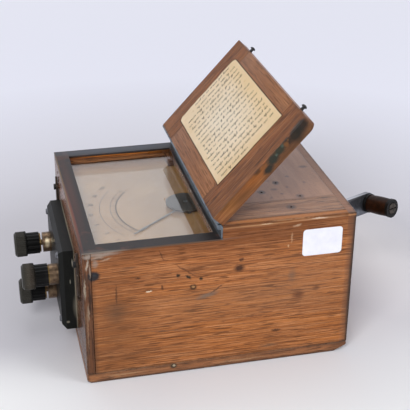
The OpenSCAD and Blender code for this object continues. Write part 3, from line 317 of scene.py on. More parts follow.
# Boards: copies of the CAD boards with softened, knocked edges, each with its own marks. Bevels, insets and
# round corners are in mm.
boards = {
    "near_side_board": {
        "look": "side", "grain": "x", "bevel": 0.8, "inset": 0.15, "dirt": 0.55, "shine": 0.2,
        "open": ((40, 0, 0), (40, 0, 0)),
        "shades": [
            ((-117, -110.8, 50), (2.4, 6, 62), "#4a2f20", 0.55, 0.6),
            ((0, -110.8, 139), (150, 6, 13), "#603519", 0.68, 0.5),
            ((62, -106.5, 149.4), (66, 4.2, 0.9), "#bd7a42", 0.85, 0.3),
            ((34, -110.8, 146.4), (34, 3, 0.7), "#d9a878", 0.4, 0.6),
            ((92, -110.8, 146.8), (22, 3, 0.8), "#deb087", 0.4, 0.6),
            ((-62, -110.8, 136), (60, 3, 0.9), "#8d7f74", 0.45, 0.6),
            ((10, -110.8, 4), (160, 6, 7), "#6a4229", 0.28, 0.5),
            ((-20, -110.8, 70), (55, 6, 13), "#8a6346", 0.3, 0.8),
            ((70, -110.8, 80), (40, 6, 22), "#7f5f49", 0.35, 0.8),
            ((-100, -110.8, 60), (26, 6, 75), "#694226", 0.54, 0.8)],
        "marks": onFace("side", 3, [
            # A screw head as a dark mark, with a small painted highlight on it
            ((-115.3, 112.6), (5.2, 4.8), "#1d2024", 0.97, 0.25),
            ((-114.6, 113.4), (1.6, 0.8), "#33373b", 0.6), ((-108, 133.6), (13, 1.6), "#9c9186", 0.7, 0.6),
            ((-111.5, 130.6), (6, 1.4), "#a19688", 0.6, 0.6, -9),
            ((-104, 128.2), (5, 0.8), "#a3907c", 0.6, 0.4, -14),
            ((-113.5, 125), (2.4, 3.4), "#8f8478", 0.6, 0.5), ((-110, 129.2), (6, 0.8), "#4a3a30", 0.7, 0.4),
            ((16.2, 104.6), (4.4, 3.3), "#331d15", 0.88, 0.5), ((17.8, 113.2), (2.2, 2), "#43271a"),
            ((73.3, 68.8), (5, 4), "#56301f", 0.7, 0.6),
            ((90.4, 74.3), (3.2, 2.2), "#4f2f20", 0.6, 0.5)]) + onFace("side", 2, [
            ((-40.2, 104), (1.7, 1.4), "#1f1f17", 0.95),
            ((-30.8, 101.6), (2.8, 1.3), "#23231a", 0.95, 0.35, 35),
            ((-19.3, 98.5), (1.8, 1.6), "#1f1f17", 0.95), ((-26.3, 90.4), (3, 2.8), "#23190f", 0.9),
            ((-26.3, 90.6), (1.5, 1.3), "#a5784c", 0.9),
            ((-66.8, 91.2), (2.6, 0.55), "#ead9bd", 0.9, 0.35, -8), ((-54.5, 93.5), (1.1, 2.4), "#4a2c1b"),
            ((-76.2, 105.9), (2.4, 0.9), "#3f2517"), ((-95.9, 91.2), (0.9, 9), "#4a2d1c", 0.7),
            ((-55.1, 126.5), (0.7, 5.5), "#4a2b1a", 0.6, 0.35, -22),
            ((-33, 108), (12, 0.9), "#4a2b1a", 0.6, 0.35, 38),
            ((-13.2, 80.1), (9, 2.2), "#6f6256", 0.75, 0.5, -14),
            ((-4, 86), (7, 0.7), "#4c3425", 0.7, 0.35, -35), ((53.2, 33), (4.5, 1.2), "#3f271a"),
            ((66.3, 91.2), (3, 6), "#6f5948", 0.55, 0.6), ((46.7, 17), (8, 1.5), "#5d4a3b", 0.6, 0.6),
            ((64.4, 129.7), (0.8, 5), "#c9a27c", 0.4), ((61.5, 122), (1, 1.6), "#d8b58c", 0.5),
            ((69.1, 142), (3.2, 0.9), "#d9bd9c", 0.45, 0.6, -12), ((89.5, 147.2), (7, 0.6), "#e9d8c2", 0.6),
            ((40, 146.6), (5, 0.5), "#e3c9a8", 0.5), ((-84, 117), (8, 1.2), "#7b5a42", 0.35, 0.6, -8),
            ((-70, 28), (22, 1.2), "#5a3823", 0.5, 0.35, -4), ((-48, 47), (26, 0.8), "#6a5444", 0.5, 0.35, 6),
            ((-97, 74), (7, 9), "#4f3b2c", 0.5, 0.7), ((30, 52), (20, 0.9), "#553420", 0.5, 0.35, 3)])},
    "far_side_board": {"look": "side", "grain": "x", "bevel": 0.8},
    "front_board": {
        "look": "end", "grain": "y", "crossed": ("y", "z"), "bevel": 1.4, "gloss": 0.28, "shine": 0.24,
        "rub": 0.35,
        "shades": [((-125, 0, 124), (4, 115, 11), "#8a5026", 0.6, 0.5),
                   ((-120, -110.8, 60), (5, 3, 80), "#452a1b", 0.4, 0.6)],
        "marks": onFace("side", 3, [
            # A screw head as a dark mark, with a small painted highlight on it
            ((-115.3, 112.6), (5.4, 5), "#1d2024", 0.97, 0.2), ((-114.6, 113.4), (1.6, 0.8), "#33373b", 0.6),
            ((-119, 132.6), (5, 2), "#9a8f84", 0.75, 0.5),
            ((-120.5, 124.5), (1, 5), "#b0a595", 0.7, 0.35, 12), ((-118.2, 118), (0.8, 6), "#a08c78", 0.6),
            ((-122.4, 112), (1.1, 7), "#3a2a20", 0.7, 0.35, -8), ((-123.6, 100), (0.9, 9), "#a99c88", 0.6),
            ((-121.2, 76), (0.8, 8), "#9c8a74", 0.55), ((-119.5, 90), (1, 17), "#1f130c", 0.7),
            ((-122.5, 58), (0.8, 22), "#8d6d53", 0.6), ((-116, 40), (0.9, 24), "#20140d", 0.6)])},
    "rear_board": {
        "look": "side", "grain": "x", "crossed": ("x", "y"), "bevel": 1.0, "inset": 0.15,
        "dirt": 0.85, "open": ((40, 0, 0), (0, 0, 0)),
        "shades": [
            ((110, -110.8, 139), (40, 6, 11), "#64391f", 0.56, 0.5),
            ((121, -110.8, 141), (9, 3, 8), "#54331f", 0.35, 0.6),
            ((125.5, -110.8, 75), (6.2, 3, 80), "#49352a", 0.8, 0.6),
            ((120, -105, 4), (13, 9, 8), "#4a2e1e", 0.75, 0.5),
            ((121, 0, 150), (60, 140, 2), "#8a6a58", 0.85, 0.3),
            ((126, -110.8, 70), (3.4, 4, 90), "#33241c", 0.9, 0.4)],
        "marks": [((118, -110.8, 146.9), (8, 3, 0.9), "#c48a58", 0.6, 0.5)]},
    "base_board": {
        "look": "base", "grain": "x", "bevel": 1.6, "dirt": 0.62, "rub": 0.3,
        "shades": [
            ((118, -105, 2), (14, 9, 9), "#4a2e1e", 0.75, 0.5),
            # Painted contact shadow along the bottom edge, where the case meets the floor
            ((0, -111, 0), (160, 5, 3), "#3c281c", 0.7, 0.6)],
        "marks": onFace("side", 2, [
            ((-45.1, 7.5), (3.4, 2.4), "#23261c", 0.9), ((-44.5, 8), (1.4, 0.9), "#b5a78d", 0.9),
            ((-90, 6), (16, 1), "#a98561", 0.5), ((20, 5), (24, 0.8), "#b08c68", 0.45)])},
    "top_panel": {
        "look": "top", "grain": "y", "bevel": 0.25, "shine": 0.55, "coat": 0.2, "dirt": 0.35,
        "rub": 0.1, "fibre": 0.16, "mottle": 0.34,
        "marks": onFace("top", 2, [
            ((52, -53), (3.4, 4), "#32211c", 0.9, 0.4), ((71, -36), (3, 4), "#32211c", 0.9, 0.4),
            ((85, -68), (3.4, 3.8), "#38261f", 0.8, 0.5), ((93, -79), (5, 2), "#3a2a28", 0.6, 0.5),
            ((108.1, -5.7), (4, 2.6), "#453431", 0.7, 0.5), ((65.3, -49.3), (3, 2.4), "#4a3835", 0.6, 0.5),
            ((70, -60), (1.6, 1.6), "#4a3835", 0.6), ((60, -30), (7, 2), "#55423d", 0.5, 0.6),
            ((86, -24), (1.6, 2.2), "#4d3a35", 0.6, 0.5), ((79, -47), (1.2, 1.8), "#4d3a35", 0.55, 0.5),
            ((98, -40), (1.6, 2), "#523f39", 0.55, 0.5), ((58, -66), (1.3, 1.8), "#4d3a35", 0.5, 0.5)])},
    "top_end_strips": {
        "look": "topEnd", "grain": "x", "bevel": 0.25, "shine": 0.45, "coat": 0.1, "dirt": 0.4,
        "rub": 0.15,
        "marks": onFace("top", 2, [
            ((70, -88), (4.4, 4.2), "#2f1f19", 0.92, 0.4), ((66, -86), (13, 4.5), "#6a5144", 0.4, 0.7),
            ((106, -76), (7, 1.6), "#3a2a24", 0.7, 0.5)])},
    "lid_panel": {
        "look": "lid", "grain": "y", "bevel": 0.2, "body": "lid", "shine": 0.06, "dirt": 0.2, "rub": 0.1,
        "fibre": 0.7, "shades": [((-63, 0, 151), (120, 180, 2.4), "#8d6a55", 0.6, 0.2)]},
    "lid_end_strips": {
        "look": "lidEnd", "grain": "x", "bevel": 0.7, "body": "lid", "corner": 8.0, "shine": 0.1, "dirt": 0.35,
        "rub": 0.2,
        "shades": [
            ((-70, -112, 143), (70, 5, 12), "#7c5437", 0.5, 0.5),
            ((-116, -110.8, 145), (15, 6, 8), "#5f4431", 0.65, 0.5),
            ((-63, 0, 151), (120, 180, 2.4), "#8d6a55", 0.45, 0.2),
            ((-92, -111.6, 146), (20, 3, 5), "#4d3627", 0.6, 0.6),
            ((-54, -110.8, 140), (14, 3, 6), "#91531f", 0.55, 0.7),
            ((-25, -110.8, 141), (9, 3, 5), "#8d5c2b", 0.45, 0.7),
            ((-38, -110.8, 144), (12, 3, 3), "#55361f", 0.6, 0.6)],
        "marks": [
            ((-117, -109.5, 138.5), (7, 5.5, 5.5), "#23221f", 0.9, 0.4),
            ((-108, -110.5, 139.5), (7, 4, 7), "#25241f", 0.92, 0.4),
            ((-99, -110.8, 138.5), (5, 3, 4.2), "#2b2722", 0.85, 0.45),
            ((-89, -110.8, 139), (6.5, 2.2, 3.8), "#2c332a", 0.92, 0.35),
            ((-79, -110.8, 140.5), (6.2, 2, 4.2), "#28302a", 0.92, 0.35),
            ((-70, -110.8, 144), (5.2, 2, 3.4), "#262a26", 0.92, 0.35),
            ((-103, -109, 137.6), (2.2, 1.4, 1.6), "#8a5533", 0.7),
            ((-96, -110.9, 140), (2.2, 0.7, 2.4), "#7a4f2c", 0.7),
            ((-100, -110.4, 138.4), (1.2, 0.6, 1.4), "#7b5638", 0.6),
            ((-90, -108.4, 137), (2, 1, 2), "#8d5a38", 0.7),
            ((-73, -109.2, 137), (3.4, 1, 2), "#b0683a", 0.7),
            ((-62, -110.2, 138), (3.8, 1.6, 2), "#3c2c20", 0.7),
            ((-112, -106.4, 137), (6, 0.8, 2), "#6a6058", 0.6),
            ((-84, -110.6, 139.6), (1.3, 1.2, 1.2), "#5d6a5e", 0.5),
            ((-93, -110.6, 138), (1.5, 1.2, 1.5), "#4e5a50", 0.6),
            ((-118.3, -95.4, 136.9), (4, 2, 2), "#5b3a28", 0.7, 0.5)]},
}
# The case's lower rear corner is knocked off, and the front one worn: three points of each cut
knockedCorners = [((111, -110.8, 0), (125, -96.8, 0), (125, -110.8, 7)),
                  ((-120.5, -110.8, 0), (-125, -106.3, 0), (-125, -110.8, 4.5))]
knockedBoards = ("near_side_board", "rear_board", "base_board")
roundEdge = {"offset_type": "OFFSET", "affect": "EDGES", "profile": 0.5, "material": -1, "clamp_overlap": True}
shortest = 4  # mm, the shortest edge that is rounded
leastTurn = 1.0  # Radians between the faces of an edge that is rounded
insetBand = 0.3  # mm, how deep an inset side reaches


def boardCopy(node, settings, body):
    bm, low, high = flatCopy(node, body == "lid")

    def outer(edge):
        return (edge.is_convex and edge.calc_length() > shortest * mm and len(edge.link_faces) == 2
                and edge.calc_face_angle() > leastTurn
                and all(any(abs(v.co[i] - end[i]) < near for i in range(3) for end in (low, high))
                        for v in edge.verts))

    if "corner" in settings:
        turned = [e for e in bm.edges if all(abs(v.co[i] - low[i]) < near for v in e.verts for i in (0, 1))]
        bmesh.ops.bevel(bm, geom=turned, offset=settings["corner"] * mm, segments=8, **roundEdge)
    openLow, openHigh = settings.get("open", ((0, 0, 0), (0, 0, 0)))
    joints = [(i, low[i]) for i in range(3) if openLow[i]] + [(i, high[i]) for i in range(3) if openHigh[i]]
    sharp = [e for e in bm.edges if outer(e)
             and not any(all(abs(v.co[i] - at) < near for v in e.verts) for i, at in joints)]
    bmesh.ops.bevel(bm, geom=sharp, offset=settings["bevel"] * mm, segments=3, **roundEdge)
    if "inset" in settings:
        for vert in bm.verts:
            if vert.co.y < low.y + insetBand * mm:
                vert.co.y += settings["inset"] * mm
    return bm, low, high


def knockCorner(bm, corner):
    at, a, b = (Vector(p) * mm for p in corner)
    outward = (a - at).cross(b - at).normalized()
    if outward.y > 0:
        outward.negate()
    cut = bmesh.ops.bisect_plane(bm, geom=bm.verts[:] + bm.edges[:] + bm.faces[:], plane_co=at,
                                 plane_no=outward, clear_outer=True)
    edges = [e for e in cut["geom_cut"] if isinstance(e, bmesh.types.BMEdge) and e.is_boundary]
    if edges:
        bmesh.ops.holes_fill(bm, edges=edges)
        bmesh.ops.recalc_face_normals(bm, faces=bm.faces)


for node, settings in boards.items():
    body = settings.get("body", "case")
    bm, low, high = boardCopy(node, settings, body)
    material = oakMaterial("shellacked oak " + node.replace("_", " "), low / mm, high / mm, settings)
    if body == "lid":
        bmesh.ops.transform(bm, matrix=lidTurn, verts=bm.verts)
    if node in knockedBoards:
        for corner in knockedCorners:
            knockCorner(bm, corner)
    piece = newPiece(node.replace("_", ".") + ".worn", bm, material, body)
    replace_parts(piece, node)
print("boards worn")

# Beech dyed black and waxed: dull black, brown where it is rubbed and grey along the strip
facing = wornMaterial(
    "ebonised beech facing", "#231f1f", "#312c2a", patchSize=14, rough=0.42, wear="#45302a",
    wearSize=24, wearShare=0.44, shine=0.25, marks=[
        ((-119, 10, 136.6), (3.5, 70, 3), "#4d2f27", 0.65, 0.7),
        ((-123.6, -40, 136.2), (1.4, 60, 3), "#7c4436", 0.7, 0.5),
        ((-124.6, 30, 136.2), (0.8, 90, 3), "#8d7457", 0.6, 0.5),
        ((-50, -111.1, 135.6), (62, 0.9, 1), "#7a5b44", 0.6, 0.4),
        ((-108, -111.1, 135.7), (20, 1, 1.3), "#8f8478", 0.7, 0.4),
        ((-114, -109, 136.6), (11, 2.4, 2), "#5d544e", 0.4, 0.5),
        ((-60, 106, 136.6), (66, 7, 3), "#565c66", 0.6, 0.6),
        ((0, 0, 136.6), (2.6, 112, 2), "#737c83", 0.85, 0.25)])
# Iron blacked in hot oil: near black, with brown flecks where the oil has worn
iron = wornMaterial("blackened iron", "#1e1e1f", "#2d2c2c", patchSize=5, rough=0.42, metal=0.5,
                    wear="#5c5148", wearSize=3, wearShare=0.3)
# Rolled steel blued by heat: grey blue, streaked darker along the hinge
blued = wornMaterial("blued steel strip", "#565e65", "#7a848c", patchSize=7, rough=0.36, metal=0.7,
                     wear="#343a40", wearSize=6, wearShare=0.42, stretch=(1, 0.35, 1))
# Pressed iron, rusted and handled: dark brown with pale rubbed flecks
catchIron = wornMaterial("rusted iron catch", "#2d2723", "#4b3b2f", patchSize=5, rough=0.5, metal=0.3,
                         wear="#9a9083", wearSize=2.6, wearShare=0.36, shine=0.3)
# Steel ground bright: light grey, clear reflections
steel = wornMaterial("ground steel", "#8b8c90", "#6c6d70", patchSize=4, rough=0.3, metal=1.0)
# Forged steel, browned and filed: slate grey, with a nearly white painted highlight along its upper edge
slateSteel = wornMaterial(
    "browned steel arm", "#777a80", "#5d5f65", patchSize=8, rough=0.32, metal=0.85, wear="#8f9298",
    wearSize=7, wearShare=0.38, marks=[((170, -4, 113.4), (46, 40, 4.2), "#d4d7dc", 0.8, 0.4)])
# Turned brass gone dull: brown gold with darker flecks
brass = wornMaterial("tarnished brass", "#8a7146", "#5f4a2c", patchSize=5, rough=0.36, metal=1.0,
                     wear="#3a2c1b", wearSize=4, wearShare=0.42)
# Turned brass handled brown, with a painted highlight on the far collar
brownBrass = wornMaterial(
    "brown tarnished brass", "#8a735a", "#5b4a3c", patchSize=4, rough=0.34, metal=0.9,
    wear="#a58d5e", wearSize=5, wearShare=0.34, marks=[((-143.4, 33, 73), (2.2, 5, 4.5), "#fbe9c4", 0.9)])
# Turned and polished hard rubber: black sleeves, darkened further by painted shade, heads faded to a brown grey
hardRubber = wornMaterial(
    "polished hard rubber", "#100f0f", "#191816", patchSize=8, rough=0.33, wear="#3f3d37", wearSize=2,
    wearShare=0.3, shine=0.12, marks=[
        ((-172, 10, 60), (7.5, 80, 70), "#42403a", 0.7, 0.1),
        # Painted shade darkening the sleeves
        ((-157.5, 10, 60), (7, 80, 70), "#070706", 0.8, 0.1),
        ((-166, -30, 70), (4, 12, 14), "#6a5f52", 0.4, 0.6)])
# Sawn and planed hard rubber, weathered: greenish black with chalky edges
blockRubber = wornMaterial(
    "weathered hard rubber", "#101110", "#181916", patchSize=12, rough=0.4, wear="#8b8a80",
    wearSize=2.2, wearShare=0.22, shine=0.13, marks=[
        ((-125.2, 10, 60), (0.9, 70, 60), "#a59c88", 0.75, 0.4),
        ((-125, -46.5, 44), (2.6, 3, 9), "#8d8778", 0.5, 0.7),
        ((-130, -46.5, 72), (0.4, 3, 2.2), "#9f9a8c", 0.7),
        ((-127.2, -46.5, 92), (0.4, 3, 4), "#a9a496", 0.7),
        ((-134, -46.5, 28), (1.5, 3, 1.2), "#8d8778", 0.7)])
# Turned steel left to tarnish: brown and dull
dullSteel = wornMaterial("tarnished steel screw", "#534a40", "#221c17", patchSize=3, rough=0.42,
                         metal=0.7)
# Rosewood turned and varnished, the varnish worn thin: very dark red brown, hardly any shine
gripWood = wornMaterial("varnished rosewood", "#321a0c", "#180c05", patchSize=6, rough=0.42, coat=0.02,
                        shine=0.1)
# Brushed paint on cast magnets: dull red
magnetPaint = wornMaterial("red lead paint", "#5b2f2a", "#472420", patchSize=12, rough=0.5)
# Machined iron, lightly oiled: dark grey
castIron = wornMaterial("soft iron", "#4a4a4e", "#3a3a3c", patchSize=6, rough=0.5, metal=0.8)
# Drawn wire under varnish: red brown
copper = wornMaterial("varnished copper wire", "#8a4a22", "#6d3517", patchSize=2, rough=0.4, metal=0.5)
# Rolled brass plate under clear lacquer: mirrors the backdrop like glass, browner where the lacquer has failed,
# with painted shade along its far strip
dialBrass = wornMaterial(
    "lacquered brass dial", "#b28857", "#a47b4e", patchSize=30, rough=0.1, coat=1.0, bump=0.0,
    shine=0.75, marks=[
        # Painted shade along the dial's far strip
        ((-60, 97, 123.7), (80, 15, 3), "#7d5c3c", 0.6, 0.3),
        ((-4, -80, 123.7), (13, 34, 3), "#8a5f2e", 0.5, 0.5)])
# Sprayed thin on sheet: even matt grey
pointerPaint = wornMaterial("grey painted aluminium", "#857e77", "#726c66", patchSize=4, rough=0.5,
                            bump=0.05, shine=0.3)
# Cast brass under dark lacquer: black brown with a soft shine
lacquer = wornMaterial("dark lacquered brass", "#3a2e20", "#261e15", patchSize=8, rough=0.3, coat=0.3)
# Rag paper browned by age and glue: cream, tanned towards its edges
paper = wornMaterial(
    "yellowed paper", "#f0d9b7", "#e8cea6", patchSize=30, rough=0.75, wear="#d8ba88", wearSize=10,
    wearShare=0.36, bump=0.1, onLid=True, shine=0.3, marks=[
        ((-64, 12, 136.5), (26, 52, 3), "#f4ead8", 0.55, 0.7),
        ((-104, 0, 136.5), (9, 90, 3), "#e8c892", 0.5, 0.6),
        ((-64, -86, 136.5), (60, 26, 3), "#d9b884", 0.5, 0.7)])
# Matt dark brown under the label's rim: a painted shadow, a dark line round the paper
labelShadowPaint = wornMaterial("painted shadow round the label", "#2c1c13", "#4c3223", patchSize=6, rough=0.6,
                        onLid=True, shine=0.2)
# Penned ink, browned
ink = wornMaterial("iron gall ink", "#1d150e", "#33271c", patchSize=10, rough=0.7, shine=0.2)
# Wax rubbed into engraved lines: flat black
dialInk = wornMaterial("engraved black wax", "#17120d", "#2a241d", patchSize=10, rough=0.8, shine=0.05)
# Machine-coated paper: smooth and white
sticker = wornMaterial("coated white paper", "#f0f0f6", "#e6e6ee", patchSize=14, rough=0.5, bump=0.05,
                       shine=0.3)
# Planed and left bare
deckWood = oakMaterial("plain oak deck", (-120, -105, 92), (6, 105, 100),
                       {"look": "base", "grain": "x", "dirt": 0.0, "rub": 0.0})
# Planed and varnished, with painted shade in the well's upper corner and painted highlights where light comes
# through the glass
frameWood = oakMaterial("varnished oak rail", (-117, -103, 100), (6, 103, 160), {
    "look": "inner", "grain": "x", "gloss": 0.32, "dirt": 0.0, "rub": 0.0, "shine": 0.5,
    "shades": [
        ((0, 0, 133), (6, 200, 30), "#5d4730", 0.95, 0.2),
        # Painted shade under the far rail and at its right end, with painted highlight streaks between
        ((-60, 96.8, 134.9), (70, 3, 0.7), "#2a150b", 0.85, 0.5),
        ((-70, 96.8, 133.9), (24, 3, 0.45), "#d07a24", 0.8, 0.5),
        ((-30, 96.8, 133.7), (22, 3, 0.5), "#cf7d2c", 0.7, 0.5),
        ((-75, 96.8, 133.1), (20, 3, 0.4), "#3a2212", 0.8, 0.5),
        ((-10, 96.8, 131), (22, 3, 6), "#33200f", 0.65, 0.7)]})

# Drawn glass: clear, mirrors the backdrop, and lets the lamps' light through to the dial
glass, tree = startMaterial("window glass")
pane = addNode(tree, "BsdfPrincipled", {"Base Color": linear("#f4f8f6"), "Roughness": 0.0, "IOR": 1.5,
                                        "Transmission Weight": 1.0})
clear = addNode(tree, "BsdfTransparent")
path = addNode(tree, "LightPath")
lampRay = addNode(tree, "Math", {"operation": "MAXIMUM"},
                  {0: path.outputs["Is Shadow Ray"], 1: path.outputs["Is Diffuse Ray"]})
either = addNode(tree, "MixShader", links={0: lampRay, 1: pane, 2: clear})
addNode(tree, "OutputMaterial", links={"Surface": either})

finishes = {
    frameWood: ["window_frame"], facing: ["window_bezel"], glass: ["window_glass"],
    deckWood: ["glazing_bead", "deck_board"], blued: ["hinge_case_leaf", "hinge_lid_leaf", "hinge_pin"],
    catchIron: ["near_catch", "far_catch"], iron: ["lid_studs", "catch_screws"], pointerPaint: ["pointer"],
    slateSteel: ["crank_arm", "crank_shaft"],
    hardRubber: ["far_knob", "near_knob", "low_knob", "brush_holders", "grip_rings"],
    blockRubber: ["terminal_block"], brownBrass: ["terminal_stems", "terminal_nuts"],
    brass: ["far_washer", "near_washer", "low_washer", "crank_bush", "crank_gear", "inner_gear_plate",
            "outer_gear_plate", "end_bearing_plate", "dial_pillars"],
    steel: ["block_screws", "fold_pin", "lay_gear", "jewel_screws"], dullSteel: ["grip_spindle"],
    gripWood: ["crank_grip"], castIron: ["armature_core", "brushes", "pole_pieces", "movement_poles",
                                         "movement_core"],
    magnetPaint: ["field_magnets", "movement_magnet"],
    copper: ["armature_winding", "commutator", "moving_coil"],
    dialBrass: ["dial_plate"], lacquer: ["movement_bridge"],
}
for material, names in finishes.items():
    for name in names:
        nodes[name].data.materials.clear()
        nodes[name].data.materials.append(material)
print("finishes set")

# Paper on the lid: the label's outline with its edges torn a little, always inwards
tear = {"far": 2.4, "near": 1.3, "ends": 0.5, "band": 0.6, "cuts": 28, "broad": 0.11, "broadSeed": 9.0,
        "fine": 0.6, "fineSeed": 3, "fineShare": 0.2}
bm, low, high = flatCopy("paper_label", True)
rims = [e for e in bm.edges if abs(e.verts[0].co.z - e.verts[1].co.z) < weld]
bmesh.ops.subdivide_edges(bm, edges=rims, cuts=tear["cuts"])
for vert in bm.verts:
    x, y = vert.co.x / mm, vert.co.y / mm
    broad, fine = (noise.noise((x * tear[kind], y * tear[kind], tear[kind + "Seed"]))
                   for kind in ("broad", "fine"))
    ragged = min(1, max(0, 0.5 + 0.5 * broad + tear["fineShare"] * fine)) * mm
    if vert.co.y > high.y - tear["band"] * mm:
        vert.co.y -= ragged * tear["far"]
    elif vert.co.y < low.y + tear["band"] * mm:
        vert.co.y += ragged * tear["near"]
    elif vert.co.x < low.x + tear["band"] * mm:
        vert.co.x += ragged * tear["ends"]
    elif vert.co.x > high.x - tear["band"] * mm:
        vert.co.x -= ragged * tear["ends"]
shadowLineBm = bm.copy()
bmesh.ops.transform(bm, matrix=lidTurn, verts=bm.verts)
bmesh.ops.recalc_face_normals(bm, faces=bm.faces)
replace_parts(newPiece("label.paper", bm, paper, "lid"), "paper_label")

# A painted shadow line along the label's edge, half as thick as the paper
shadowLineLook = {"reach": 0.9, "thick": 0.5}
foot = Vector(((low.x + high.x) / 2, (low.y + high.y) / 2, high.z))
swell = [1 + 2 * shadowLineLook["reach"] * mm / (high[i] - low[i]) for i in range(2)] + [shadowLineLook["thick"]]
bmesh.ops.transform(shadowLineBm, verts=shadowLineBm.verts, matrix=(
    lidTurn @ Matrix.Translation(foot) @ Matrix.Diagonal((*swell, 1)) @ Matrix.Translation(-foot)))
bmesh.ops.recalc_face_normals(shadowLineBm, faces=shadowLineBm.faces)
newPiece("label.shadow.line", shadowLineBm, labelShadowPaint, "lid")

# Handwriting on the label: illegible strokes, line by line, drawn on the closed lid
writing = {
    "x": (-29.5, -104), "y": (80, -69), "surfaceZ": 136.58, "lines": 18, "seed": 5, "inkWidth": 0.6,
    "margin": 1.5, "indented": (0, 1), "indent": 16, "startSpread": 3, "endSpread": 6, "lastShort": 30,
    "bigLines": 4, "big": 1.25, "words": (2.4, 4, 6, 8, 11), "gap": (0.9, 1.9), "letter": 1.7, "height": 2.2,
    "slant": 0.3, "weights": (0.8, 1.1, 1.5), "tallShare": 0.15, "tall": (1.9, -1.2),
    # A letter rises to its peak and comes down to its foot, in shares of its width
    "peak": 0.35, "foot": 0.6, "tallAt": 0.3, "wordSpread": (0.8, 1.2), "riseSpread": (0.65, 1.0),
    "wobble": (-0.1, 0.2),
}


def handwriting():
    luck = random.Random(writing["seed"])
    curve = bpy.data.curves.new("label.writing", "CURVE")
    curve.dimensions = "3D"
    curve.bevel_depth = writing["inkWidth"] / 2 * mm
    curve.bevel_resolution = 0
    left, right = writing["x"]
    top, bottom = writing["y"]
    slant = writing["slant"]
    limit = right - writing["margin"]
    last = writing["lines"] - 1

    def stroke(points, weights):
        spline = curve.splines.new("POLY")
        spline.points.add(len(points) - 1)
        for point, (px, py), weight in zip(spline.points, points, weights):
            px = max(px, limit)
            point.co = (*(lidTurn @ Vector((px * mm, py * mm, writing["surfaceZ"] * mm))), 1)
            point.radius = weight

    for line in range(writing["lines"]):
        y = top + (bottom - top) * line / last
        x = left - luck.uniform(0, writing["startSpread"])
        x -= writing["indent"] if line in writing["indented"] else 0
        end = right + luck.uniform(0, writing["endSpread"])
        end += writing["lastShort"] if line == last else 0
        big = writing["big"] if line > last - writing["bigLines"] else 1.0
        while x > end:
            word = min(luck.choice(writing["words"]) * luck.uniform(*writing["wordSpread"]) * big, x - limit)
            letters = max(2, int(word / writing["letter"]))
            step = word / letters
            path, weights = [], []
            for k in range(letters):
                at = x - word * k / letters
                rise = writing["height"] * big * luck.uniform(*writing["riseSpread"])
                heavy = luck.choice(writing["weights"])
                path += [(at, y + luck.uniform(*writing["wobble"])),
                         (at - writing["peak"] * step - slant * rise, y + rise),
                         (at - writing["foot"] * step, y + writing["wobble"][0])]
                weights += [0.5, heavy, heavy * 0.8]
                if luck.random() < writing["tallShare"]:
                    tall = luck.choice(writing["tall"]) * writing["height"]
                    at -= writing["tallAt"] * step
                    stroke([(at, y), (at - slant * tall, y + tall)], [1.3, 0.8])
            stroke(path, weights)
            x -= word + luck.uniform(*writing["gap"])
    piece = bpy.data.objects.new("label.writing", curve)
    scene.collection.objects.link(piece)
    curve.materials.append(ink)
    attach(piece, "lid")


handwriting()
print("label written")


# Scale engraved on the dial: flat ribbons swept round the pointer's pivot. Degrees run from -X towards -Y.
dial = {
    "pivot": (-13.0, -17.4), "z": 123.76, "arcSteps": 48, "arcs": [
        {"radius": 66.8, "width": 0.85, "from": -39, "to": 38},
        {"radius": 72.3, "width": 0.4, "from": -40, "to": 39},
        {"radius": 82.5, "width": 0.4, "from": -36, "to": 36}],
    "ticks": [-38, -33.5, -29, -24.6, -20.3, -16, -12, -8, -4, 0, 3.9, 7.8, 11.6, 15.4, 19, 22.5, 26, 29.4,
              32.6, 35.6, 38],
    "tickRadius": 66.8, "tickDegrees": 0.6, "tickLong": 5.4, "tickShort": 3.0, "longEvery": 3,
    "numbers": {"100": -37, "50": -25.5, "20": -13.2, "10": 0.5, "5": 13.5, "2": 26, "1": 36},
    "numberRadius": 91.0, "numberHeight": 6.2, "numberStroke": 0.02,
}


def dialPoint(radius, degrees):
    x, y = dial["pivot"]
    a = math.radians(degrees)
    return Vector(((x - radius * math.cos(a)) * mm, (y - radius * math.sin(a)) * mm, dial["z"] * mm))


def ribbon(bm, inner, outer, start, stop, steps):
    centre = Vector((dial["pivot"][0], dial["pivot"][1], dial["z"])) * mm
    ends = [bm.verts.new(dialPoint(r, start)) for r in (inner, outer)]
    edge = bm.edges.new(ends)
    bmesh.ops.spin(bm, geom=[*ends, edge], cent=centre, axis=(0, 0, 1), angle=math.radians(stop - start),
                   steps=steps, use_merge=False)


bm = bmesh.new()
for arc in dial["arcs"]:
    half = arc["width"] / 2
    ribbon(bm, arc["radius"] - half, arc["radius"] + half, arc["from"], arc["to"], dial["arcSteps"])
half = dial["tickDegrees"] / 2
for k, degrees in enumerate(dial["ticks"]):
    reach = dial["tickShort" if k % dial["longEvery"] else "tickLong"]
    ribbon(bm, dial["tickRadius"], dial["tickRadius"] + reach, degrees - half, degrees + half, 1)
for label, degrees in dial["numbers"].items():
    words = bpy.data.curves.new("number", "FONT")
    words.body = label
    words.size = dial["numberHeight"] * mm
    words.offset = dial["numberStroke"] * mm
    words.align_x = words.align_y = "CENTER"
    written = bpy.data.objects.new("number", words)
    flat = bpy.data.meshes.new_from_object(written)
    placed = (Matrix.Translation(dialPoint(dial["numberRadius"], degrees))
              @ Matrix.Rotation(math.radians(90 + degrees), 4, "Z"))
    flat.transform(placed)
    bm.from_mesh(flat)
    bpy.data.objects.remove(written)
bmesh.ops.recalc_face_normals(bm, faces=bm.faces)
for face in bm.faces:
    if face.normal.z < 0:
        face.normal_flip()
newPiece("dial.scale", bm, dialInk, "case")

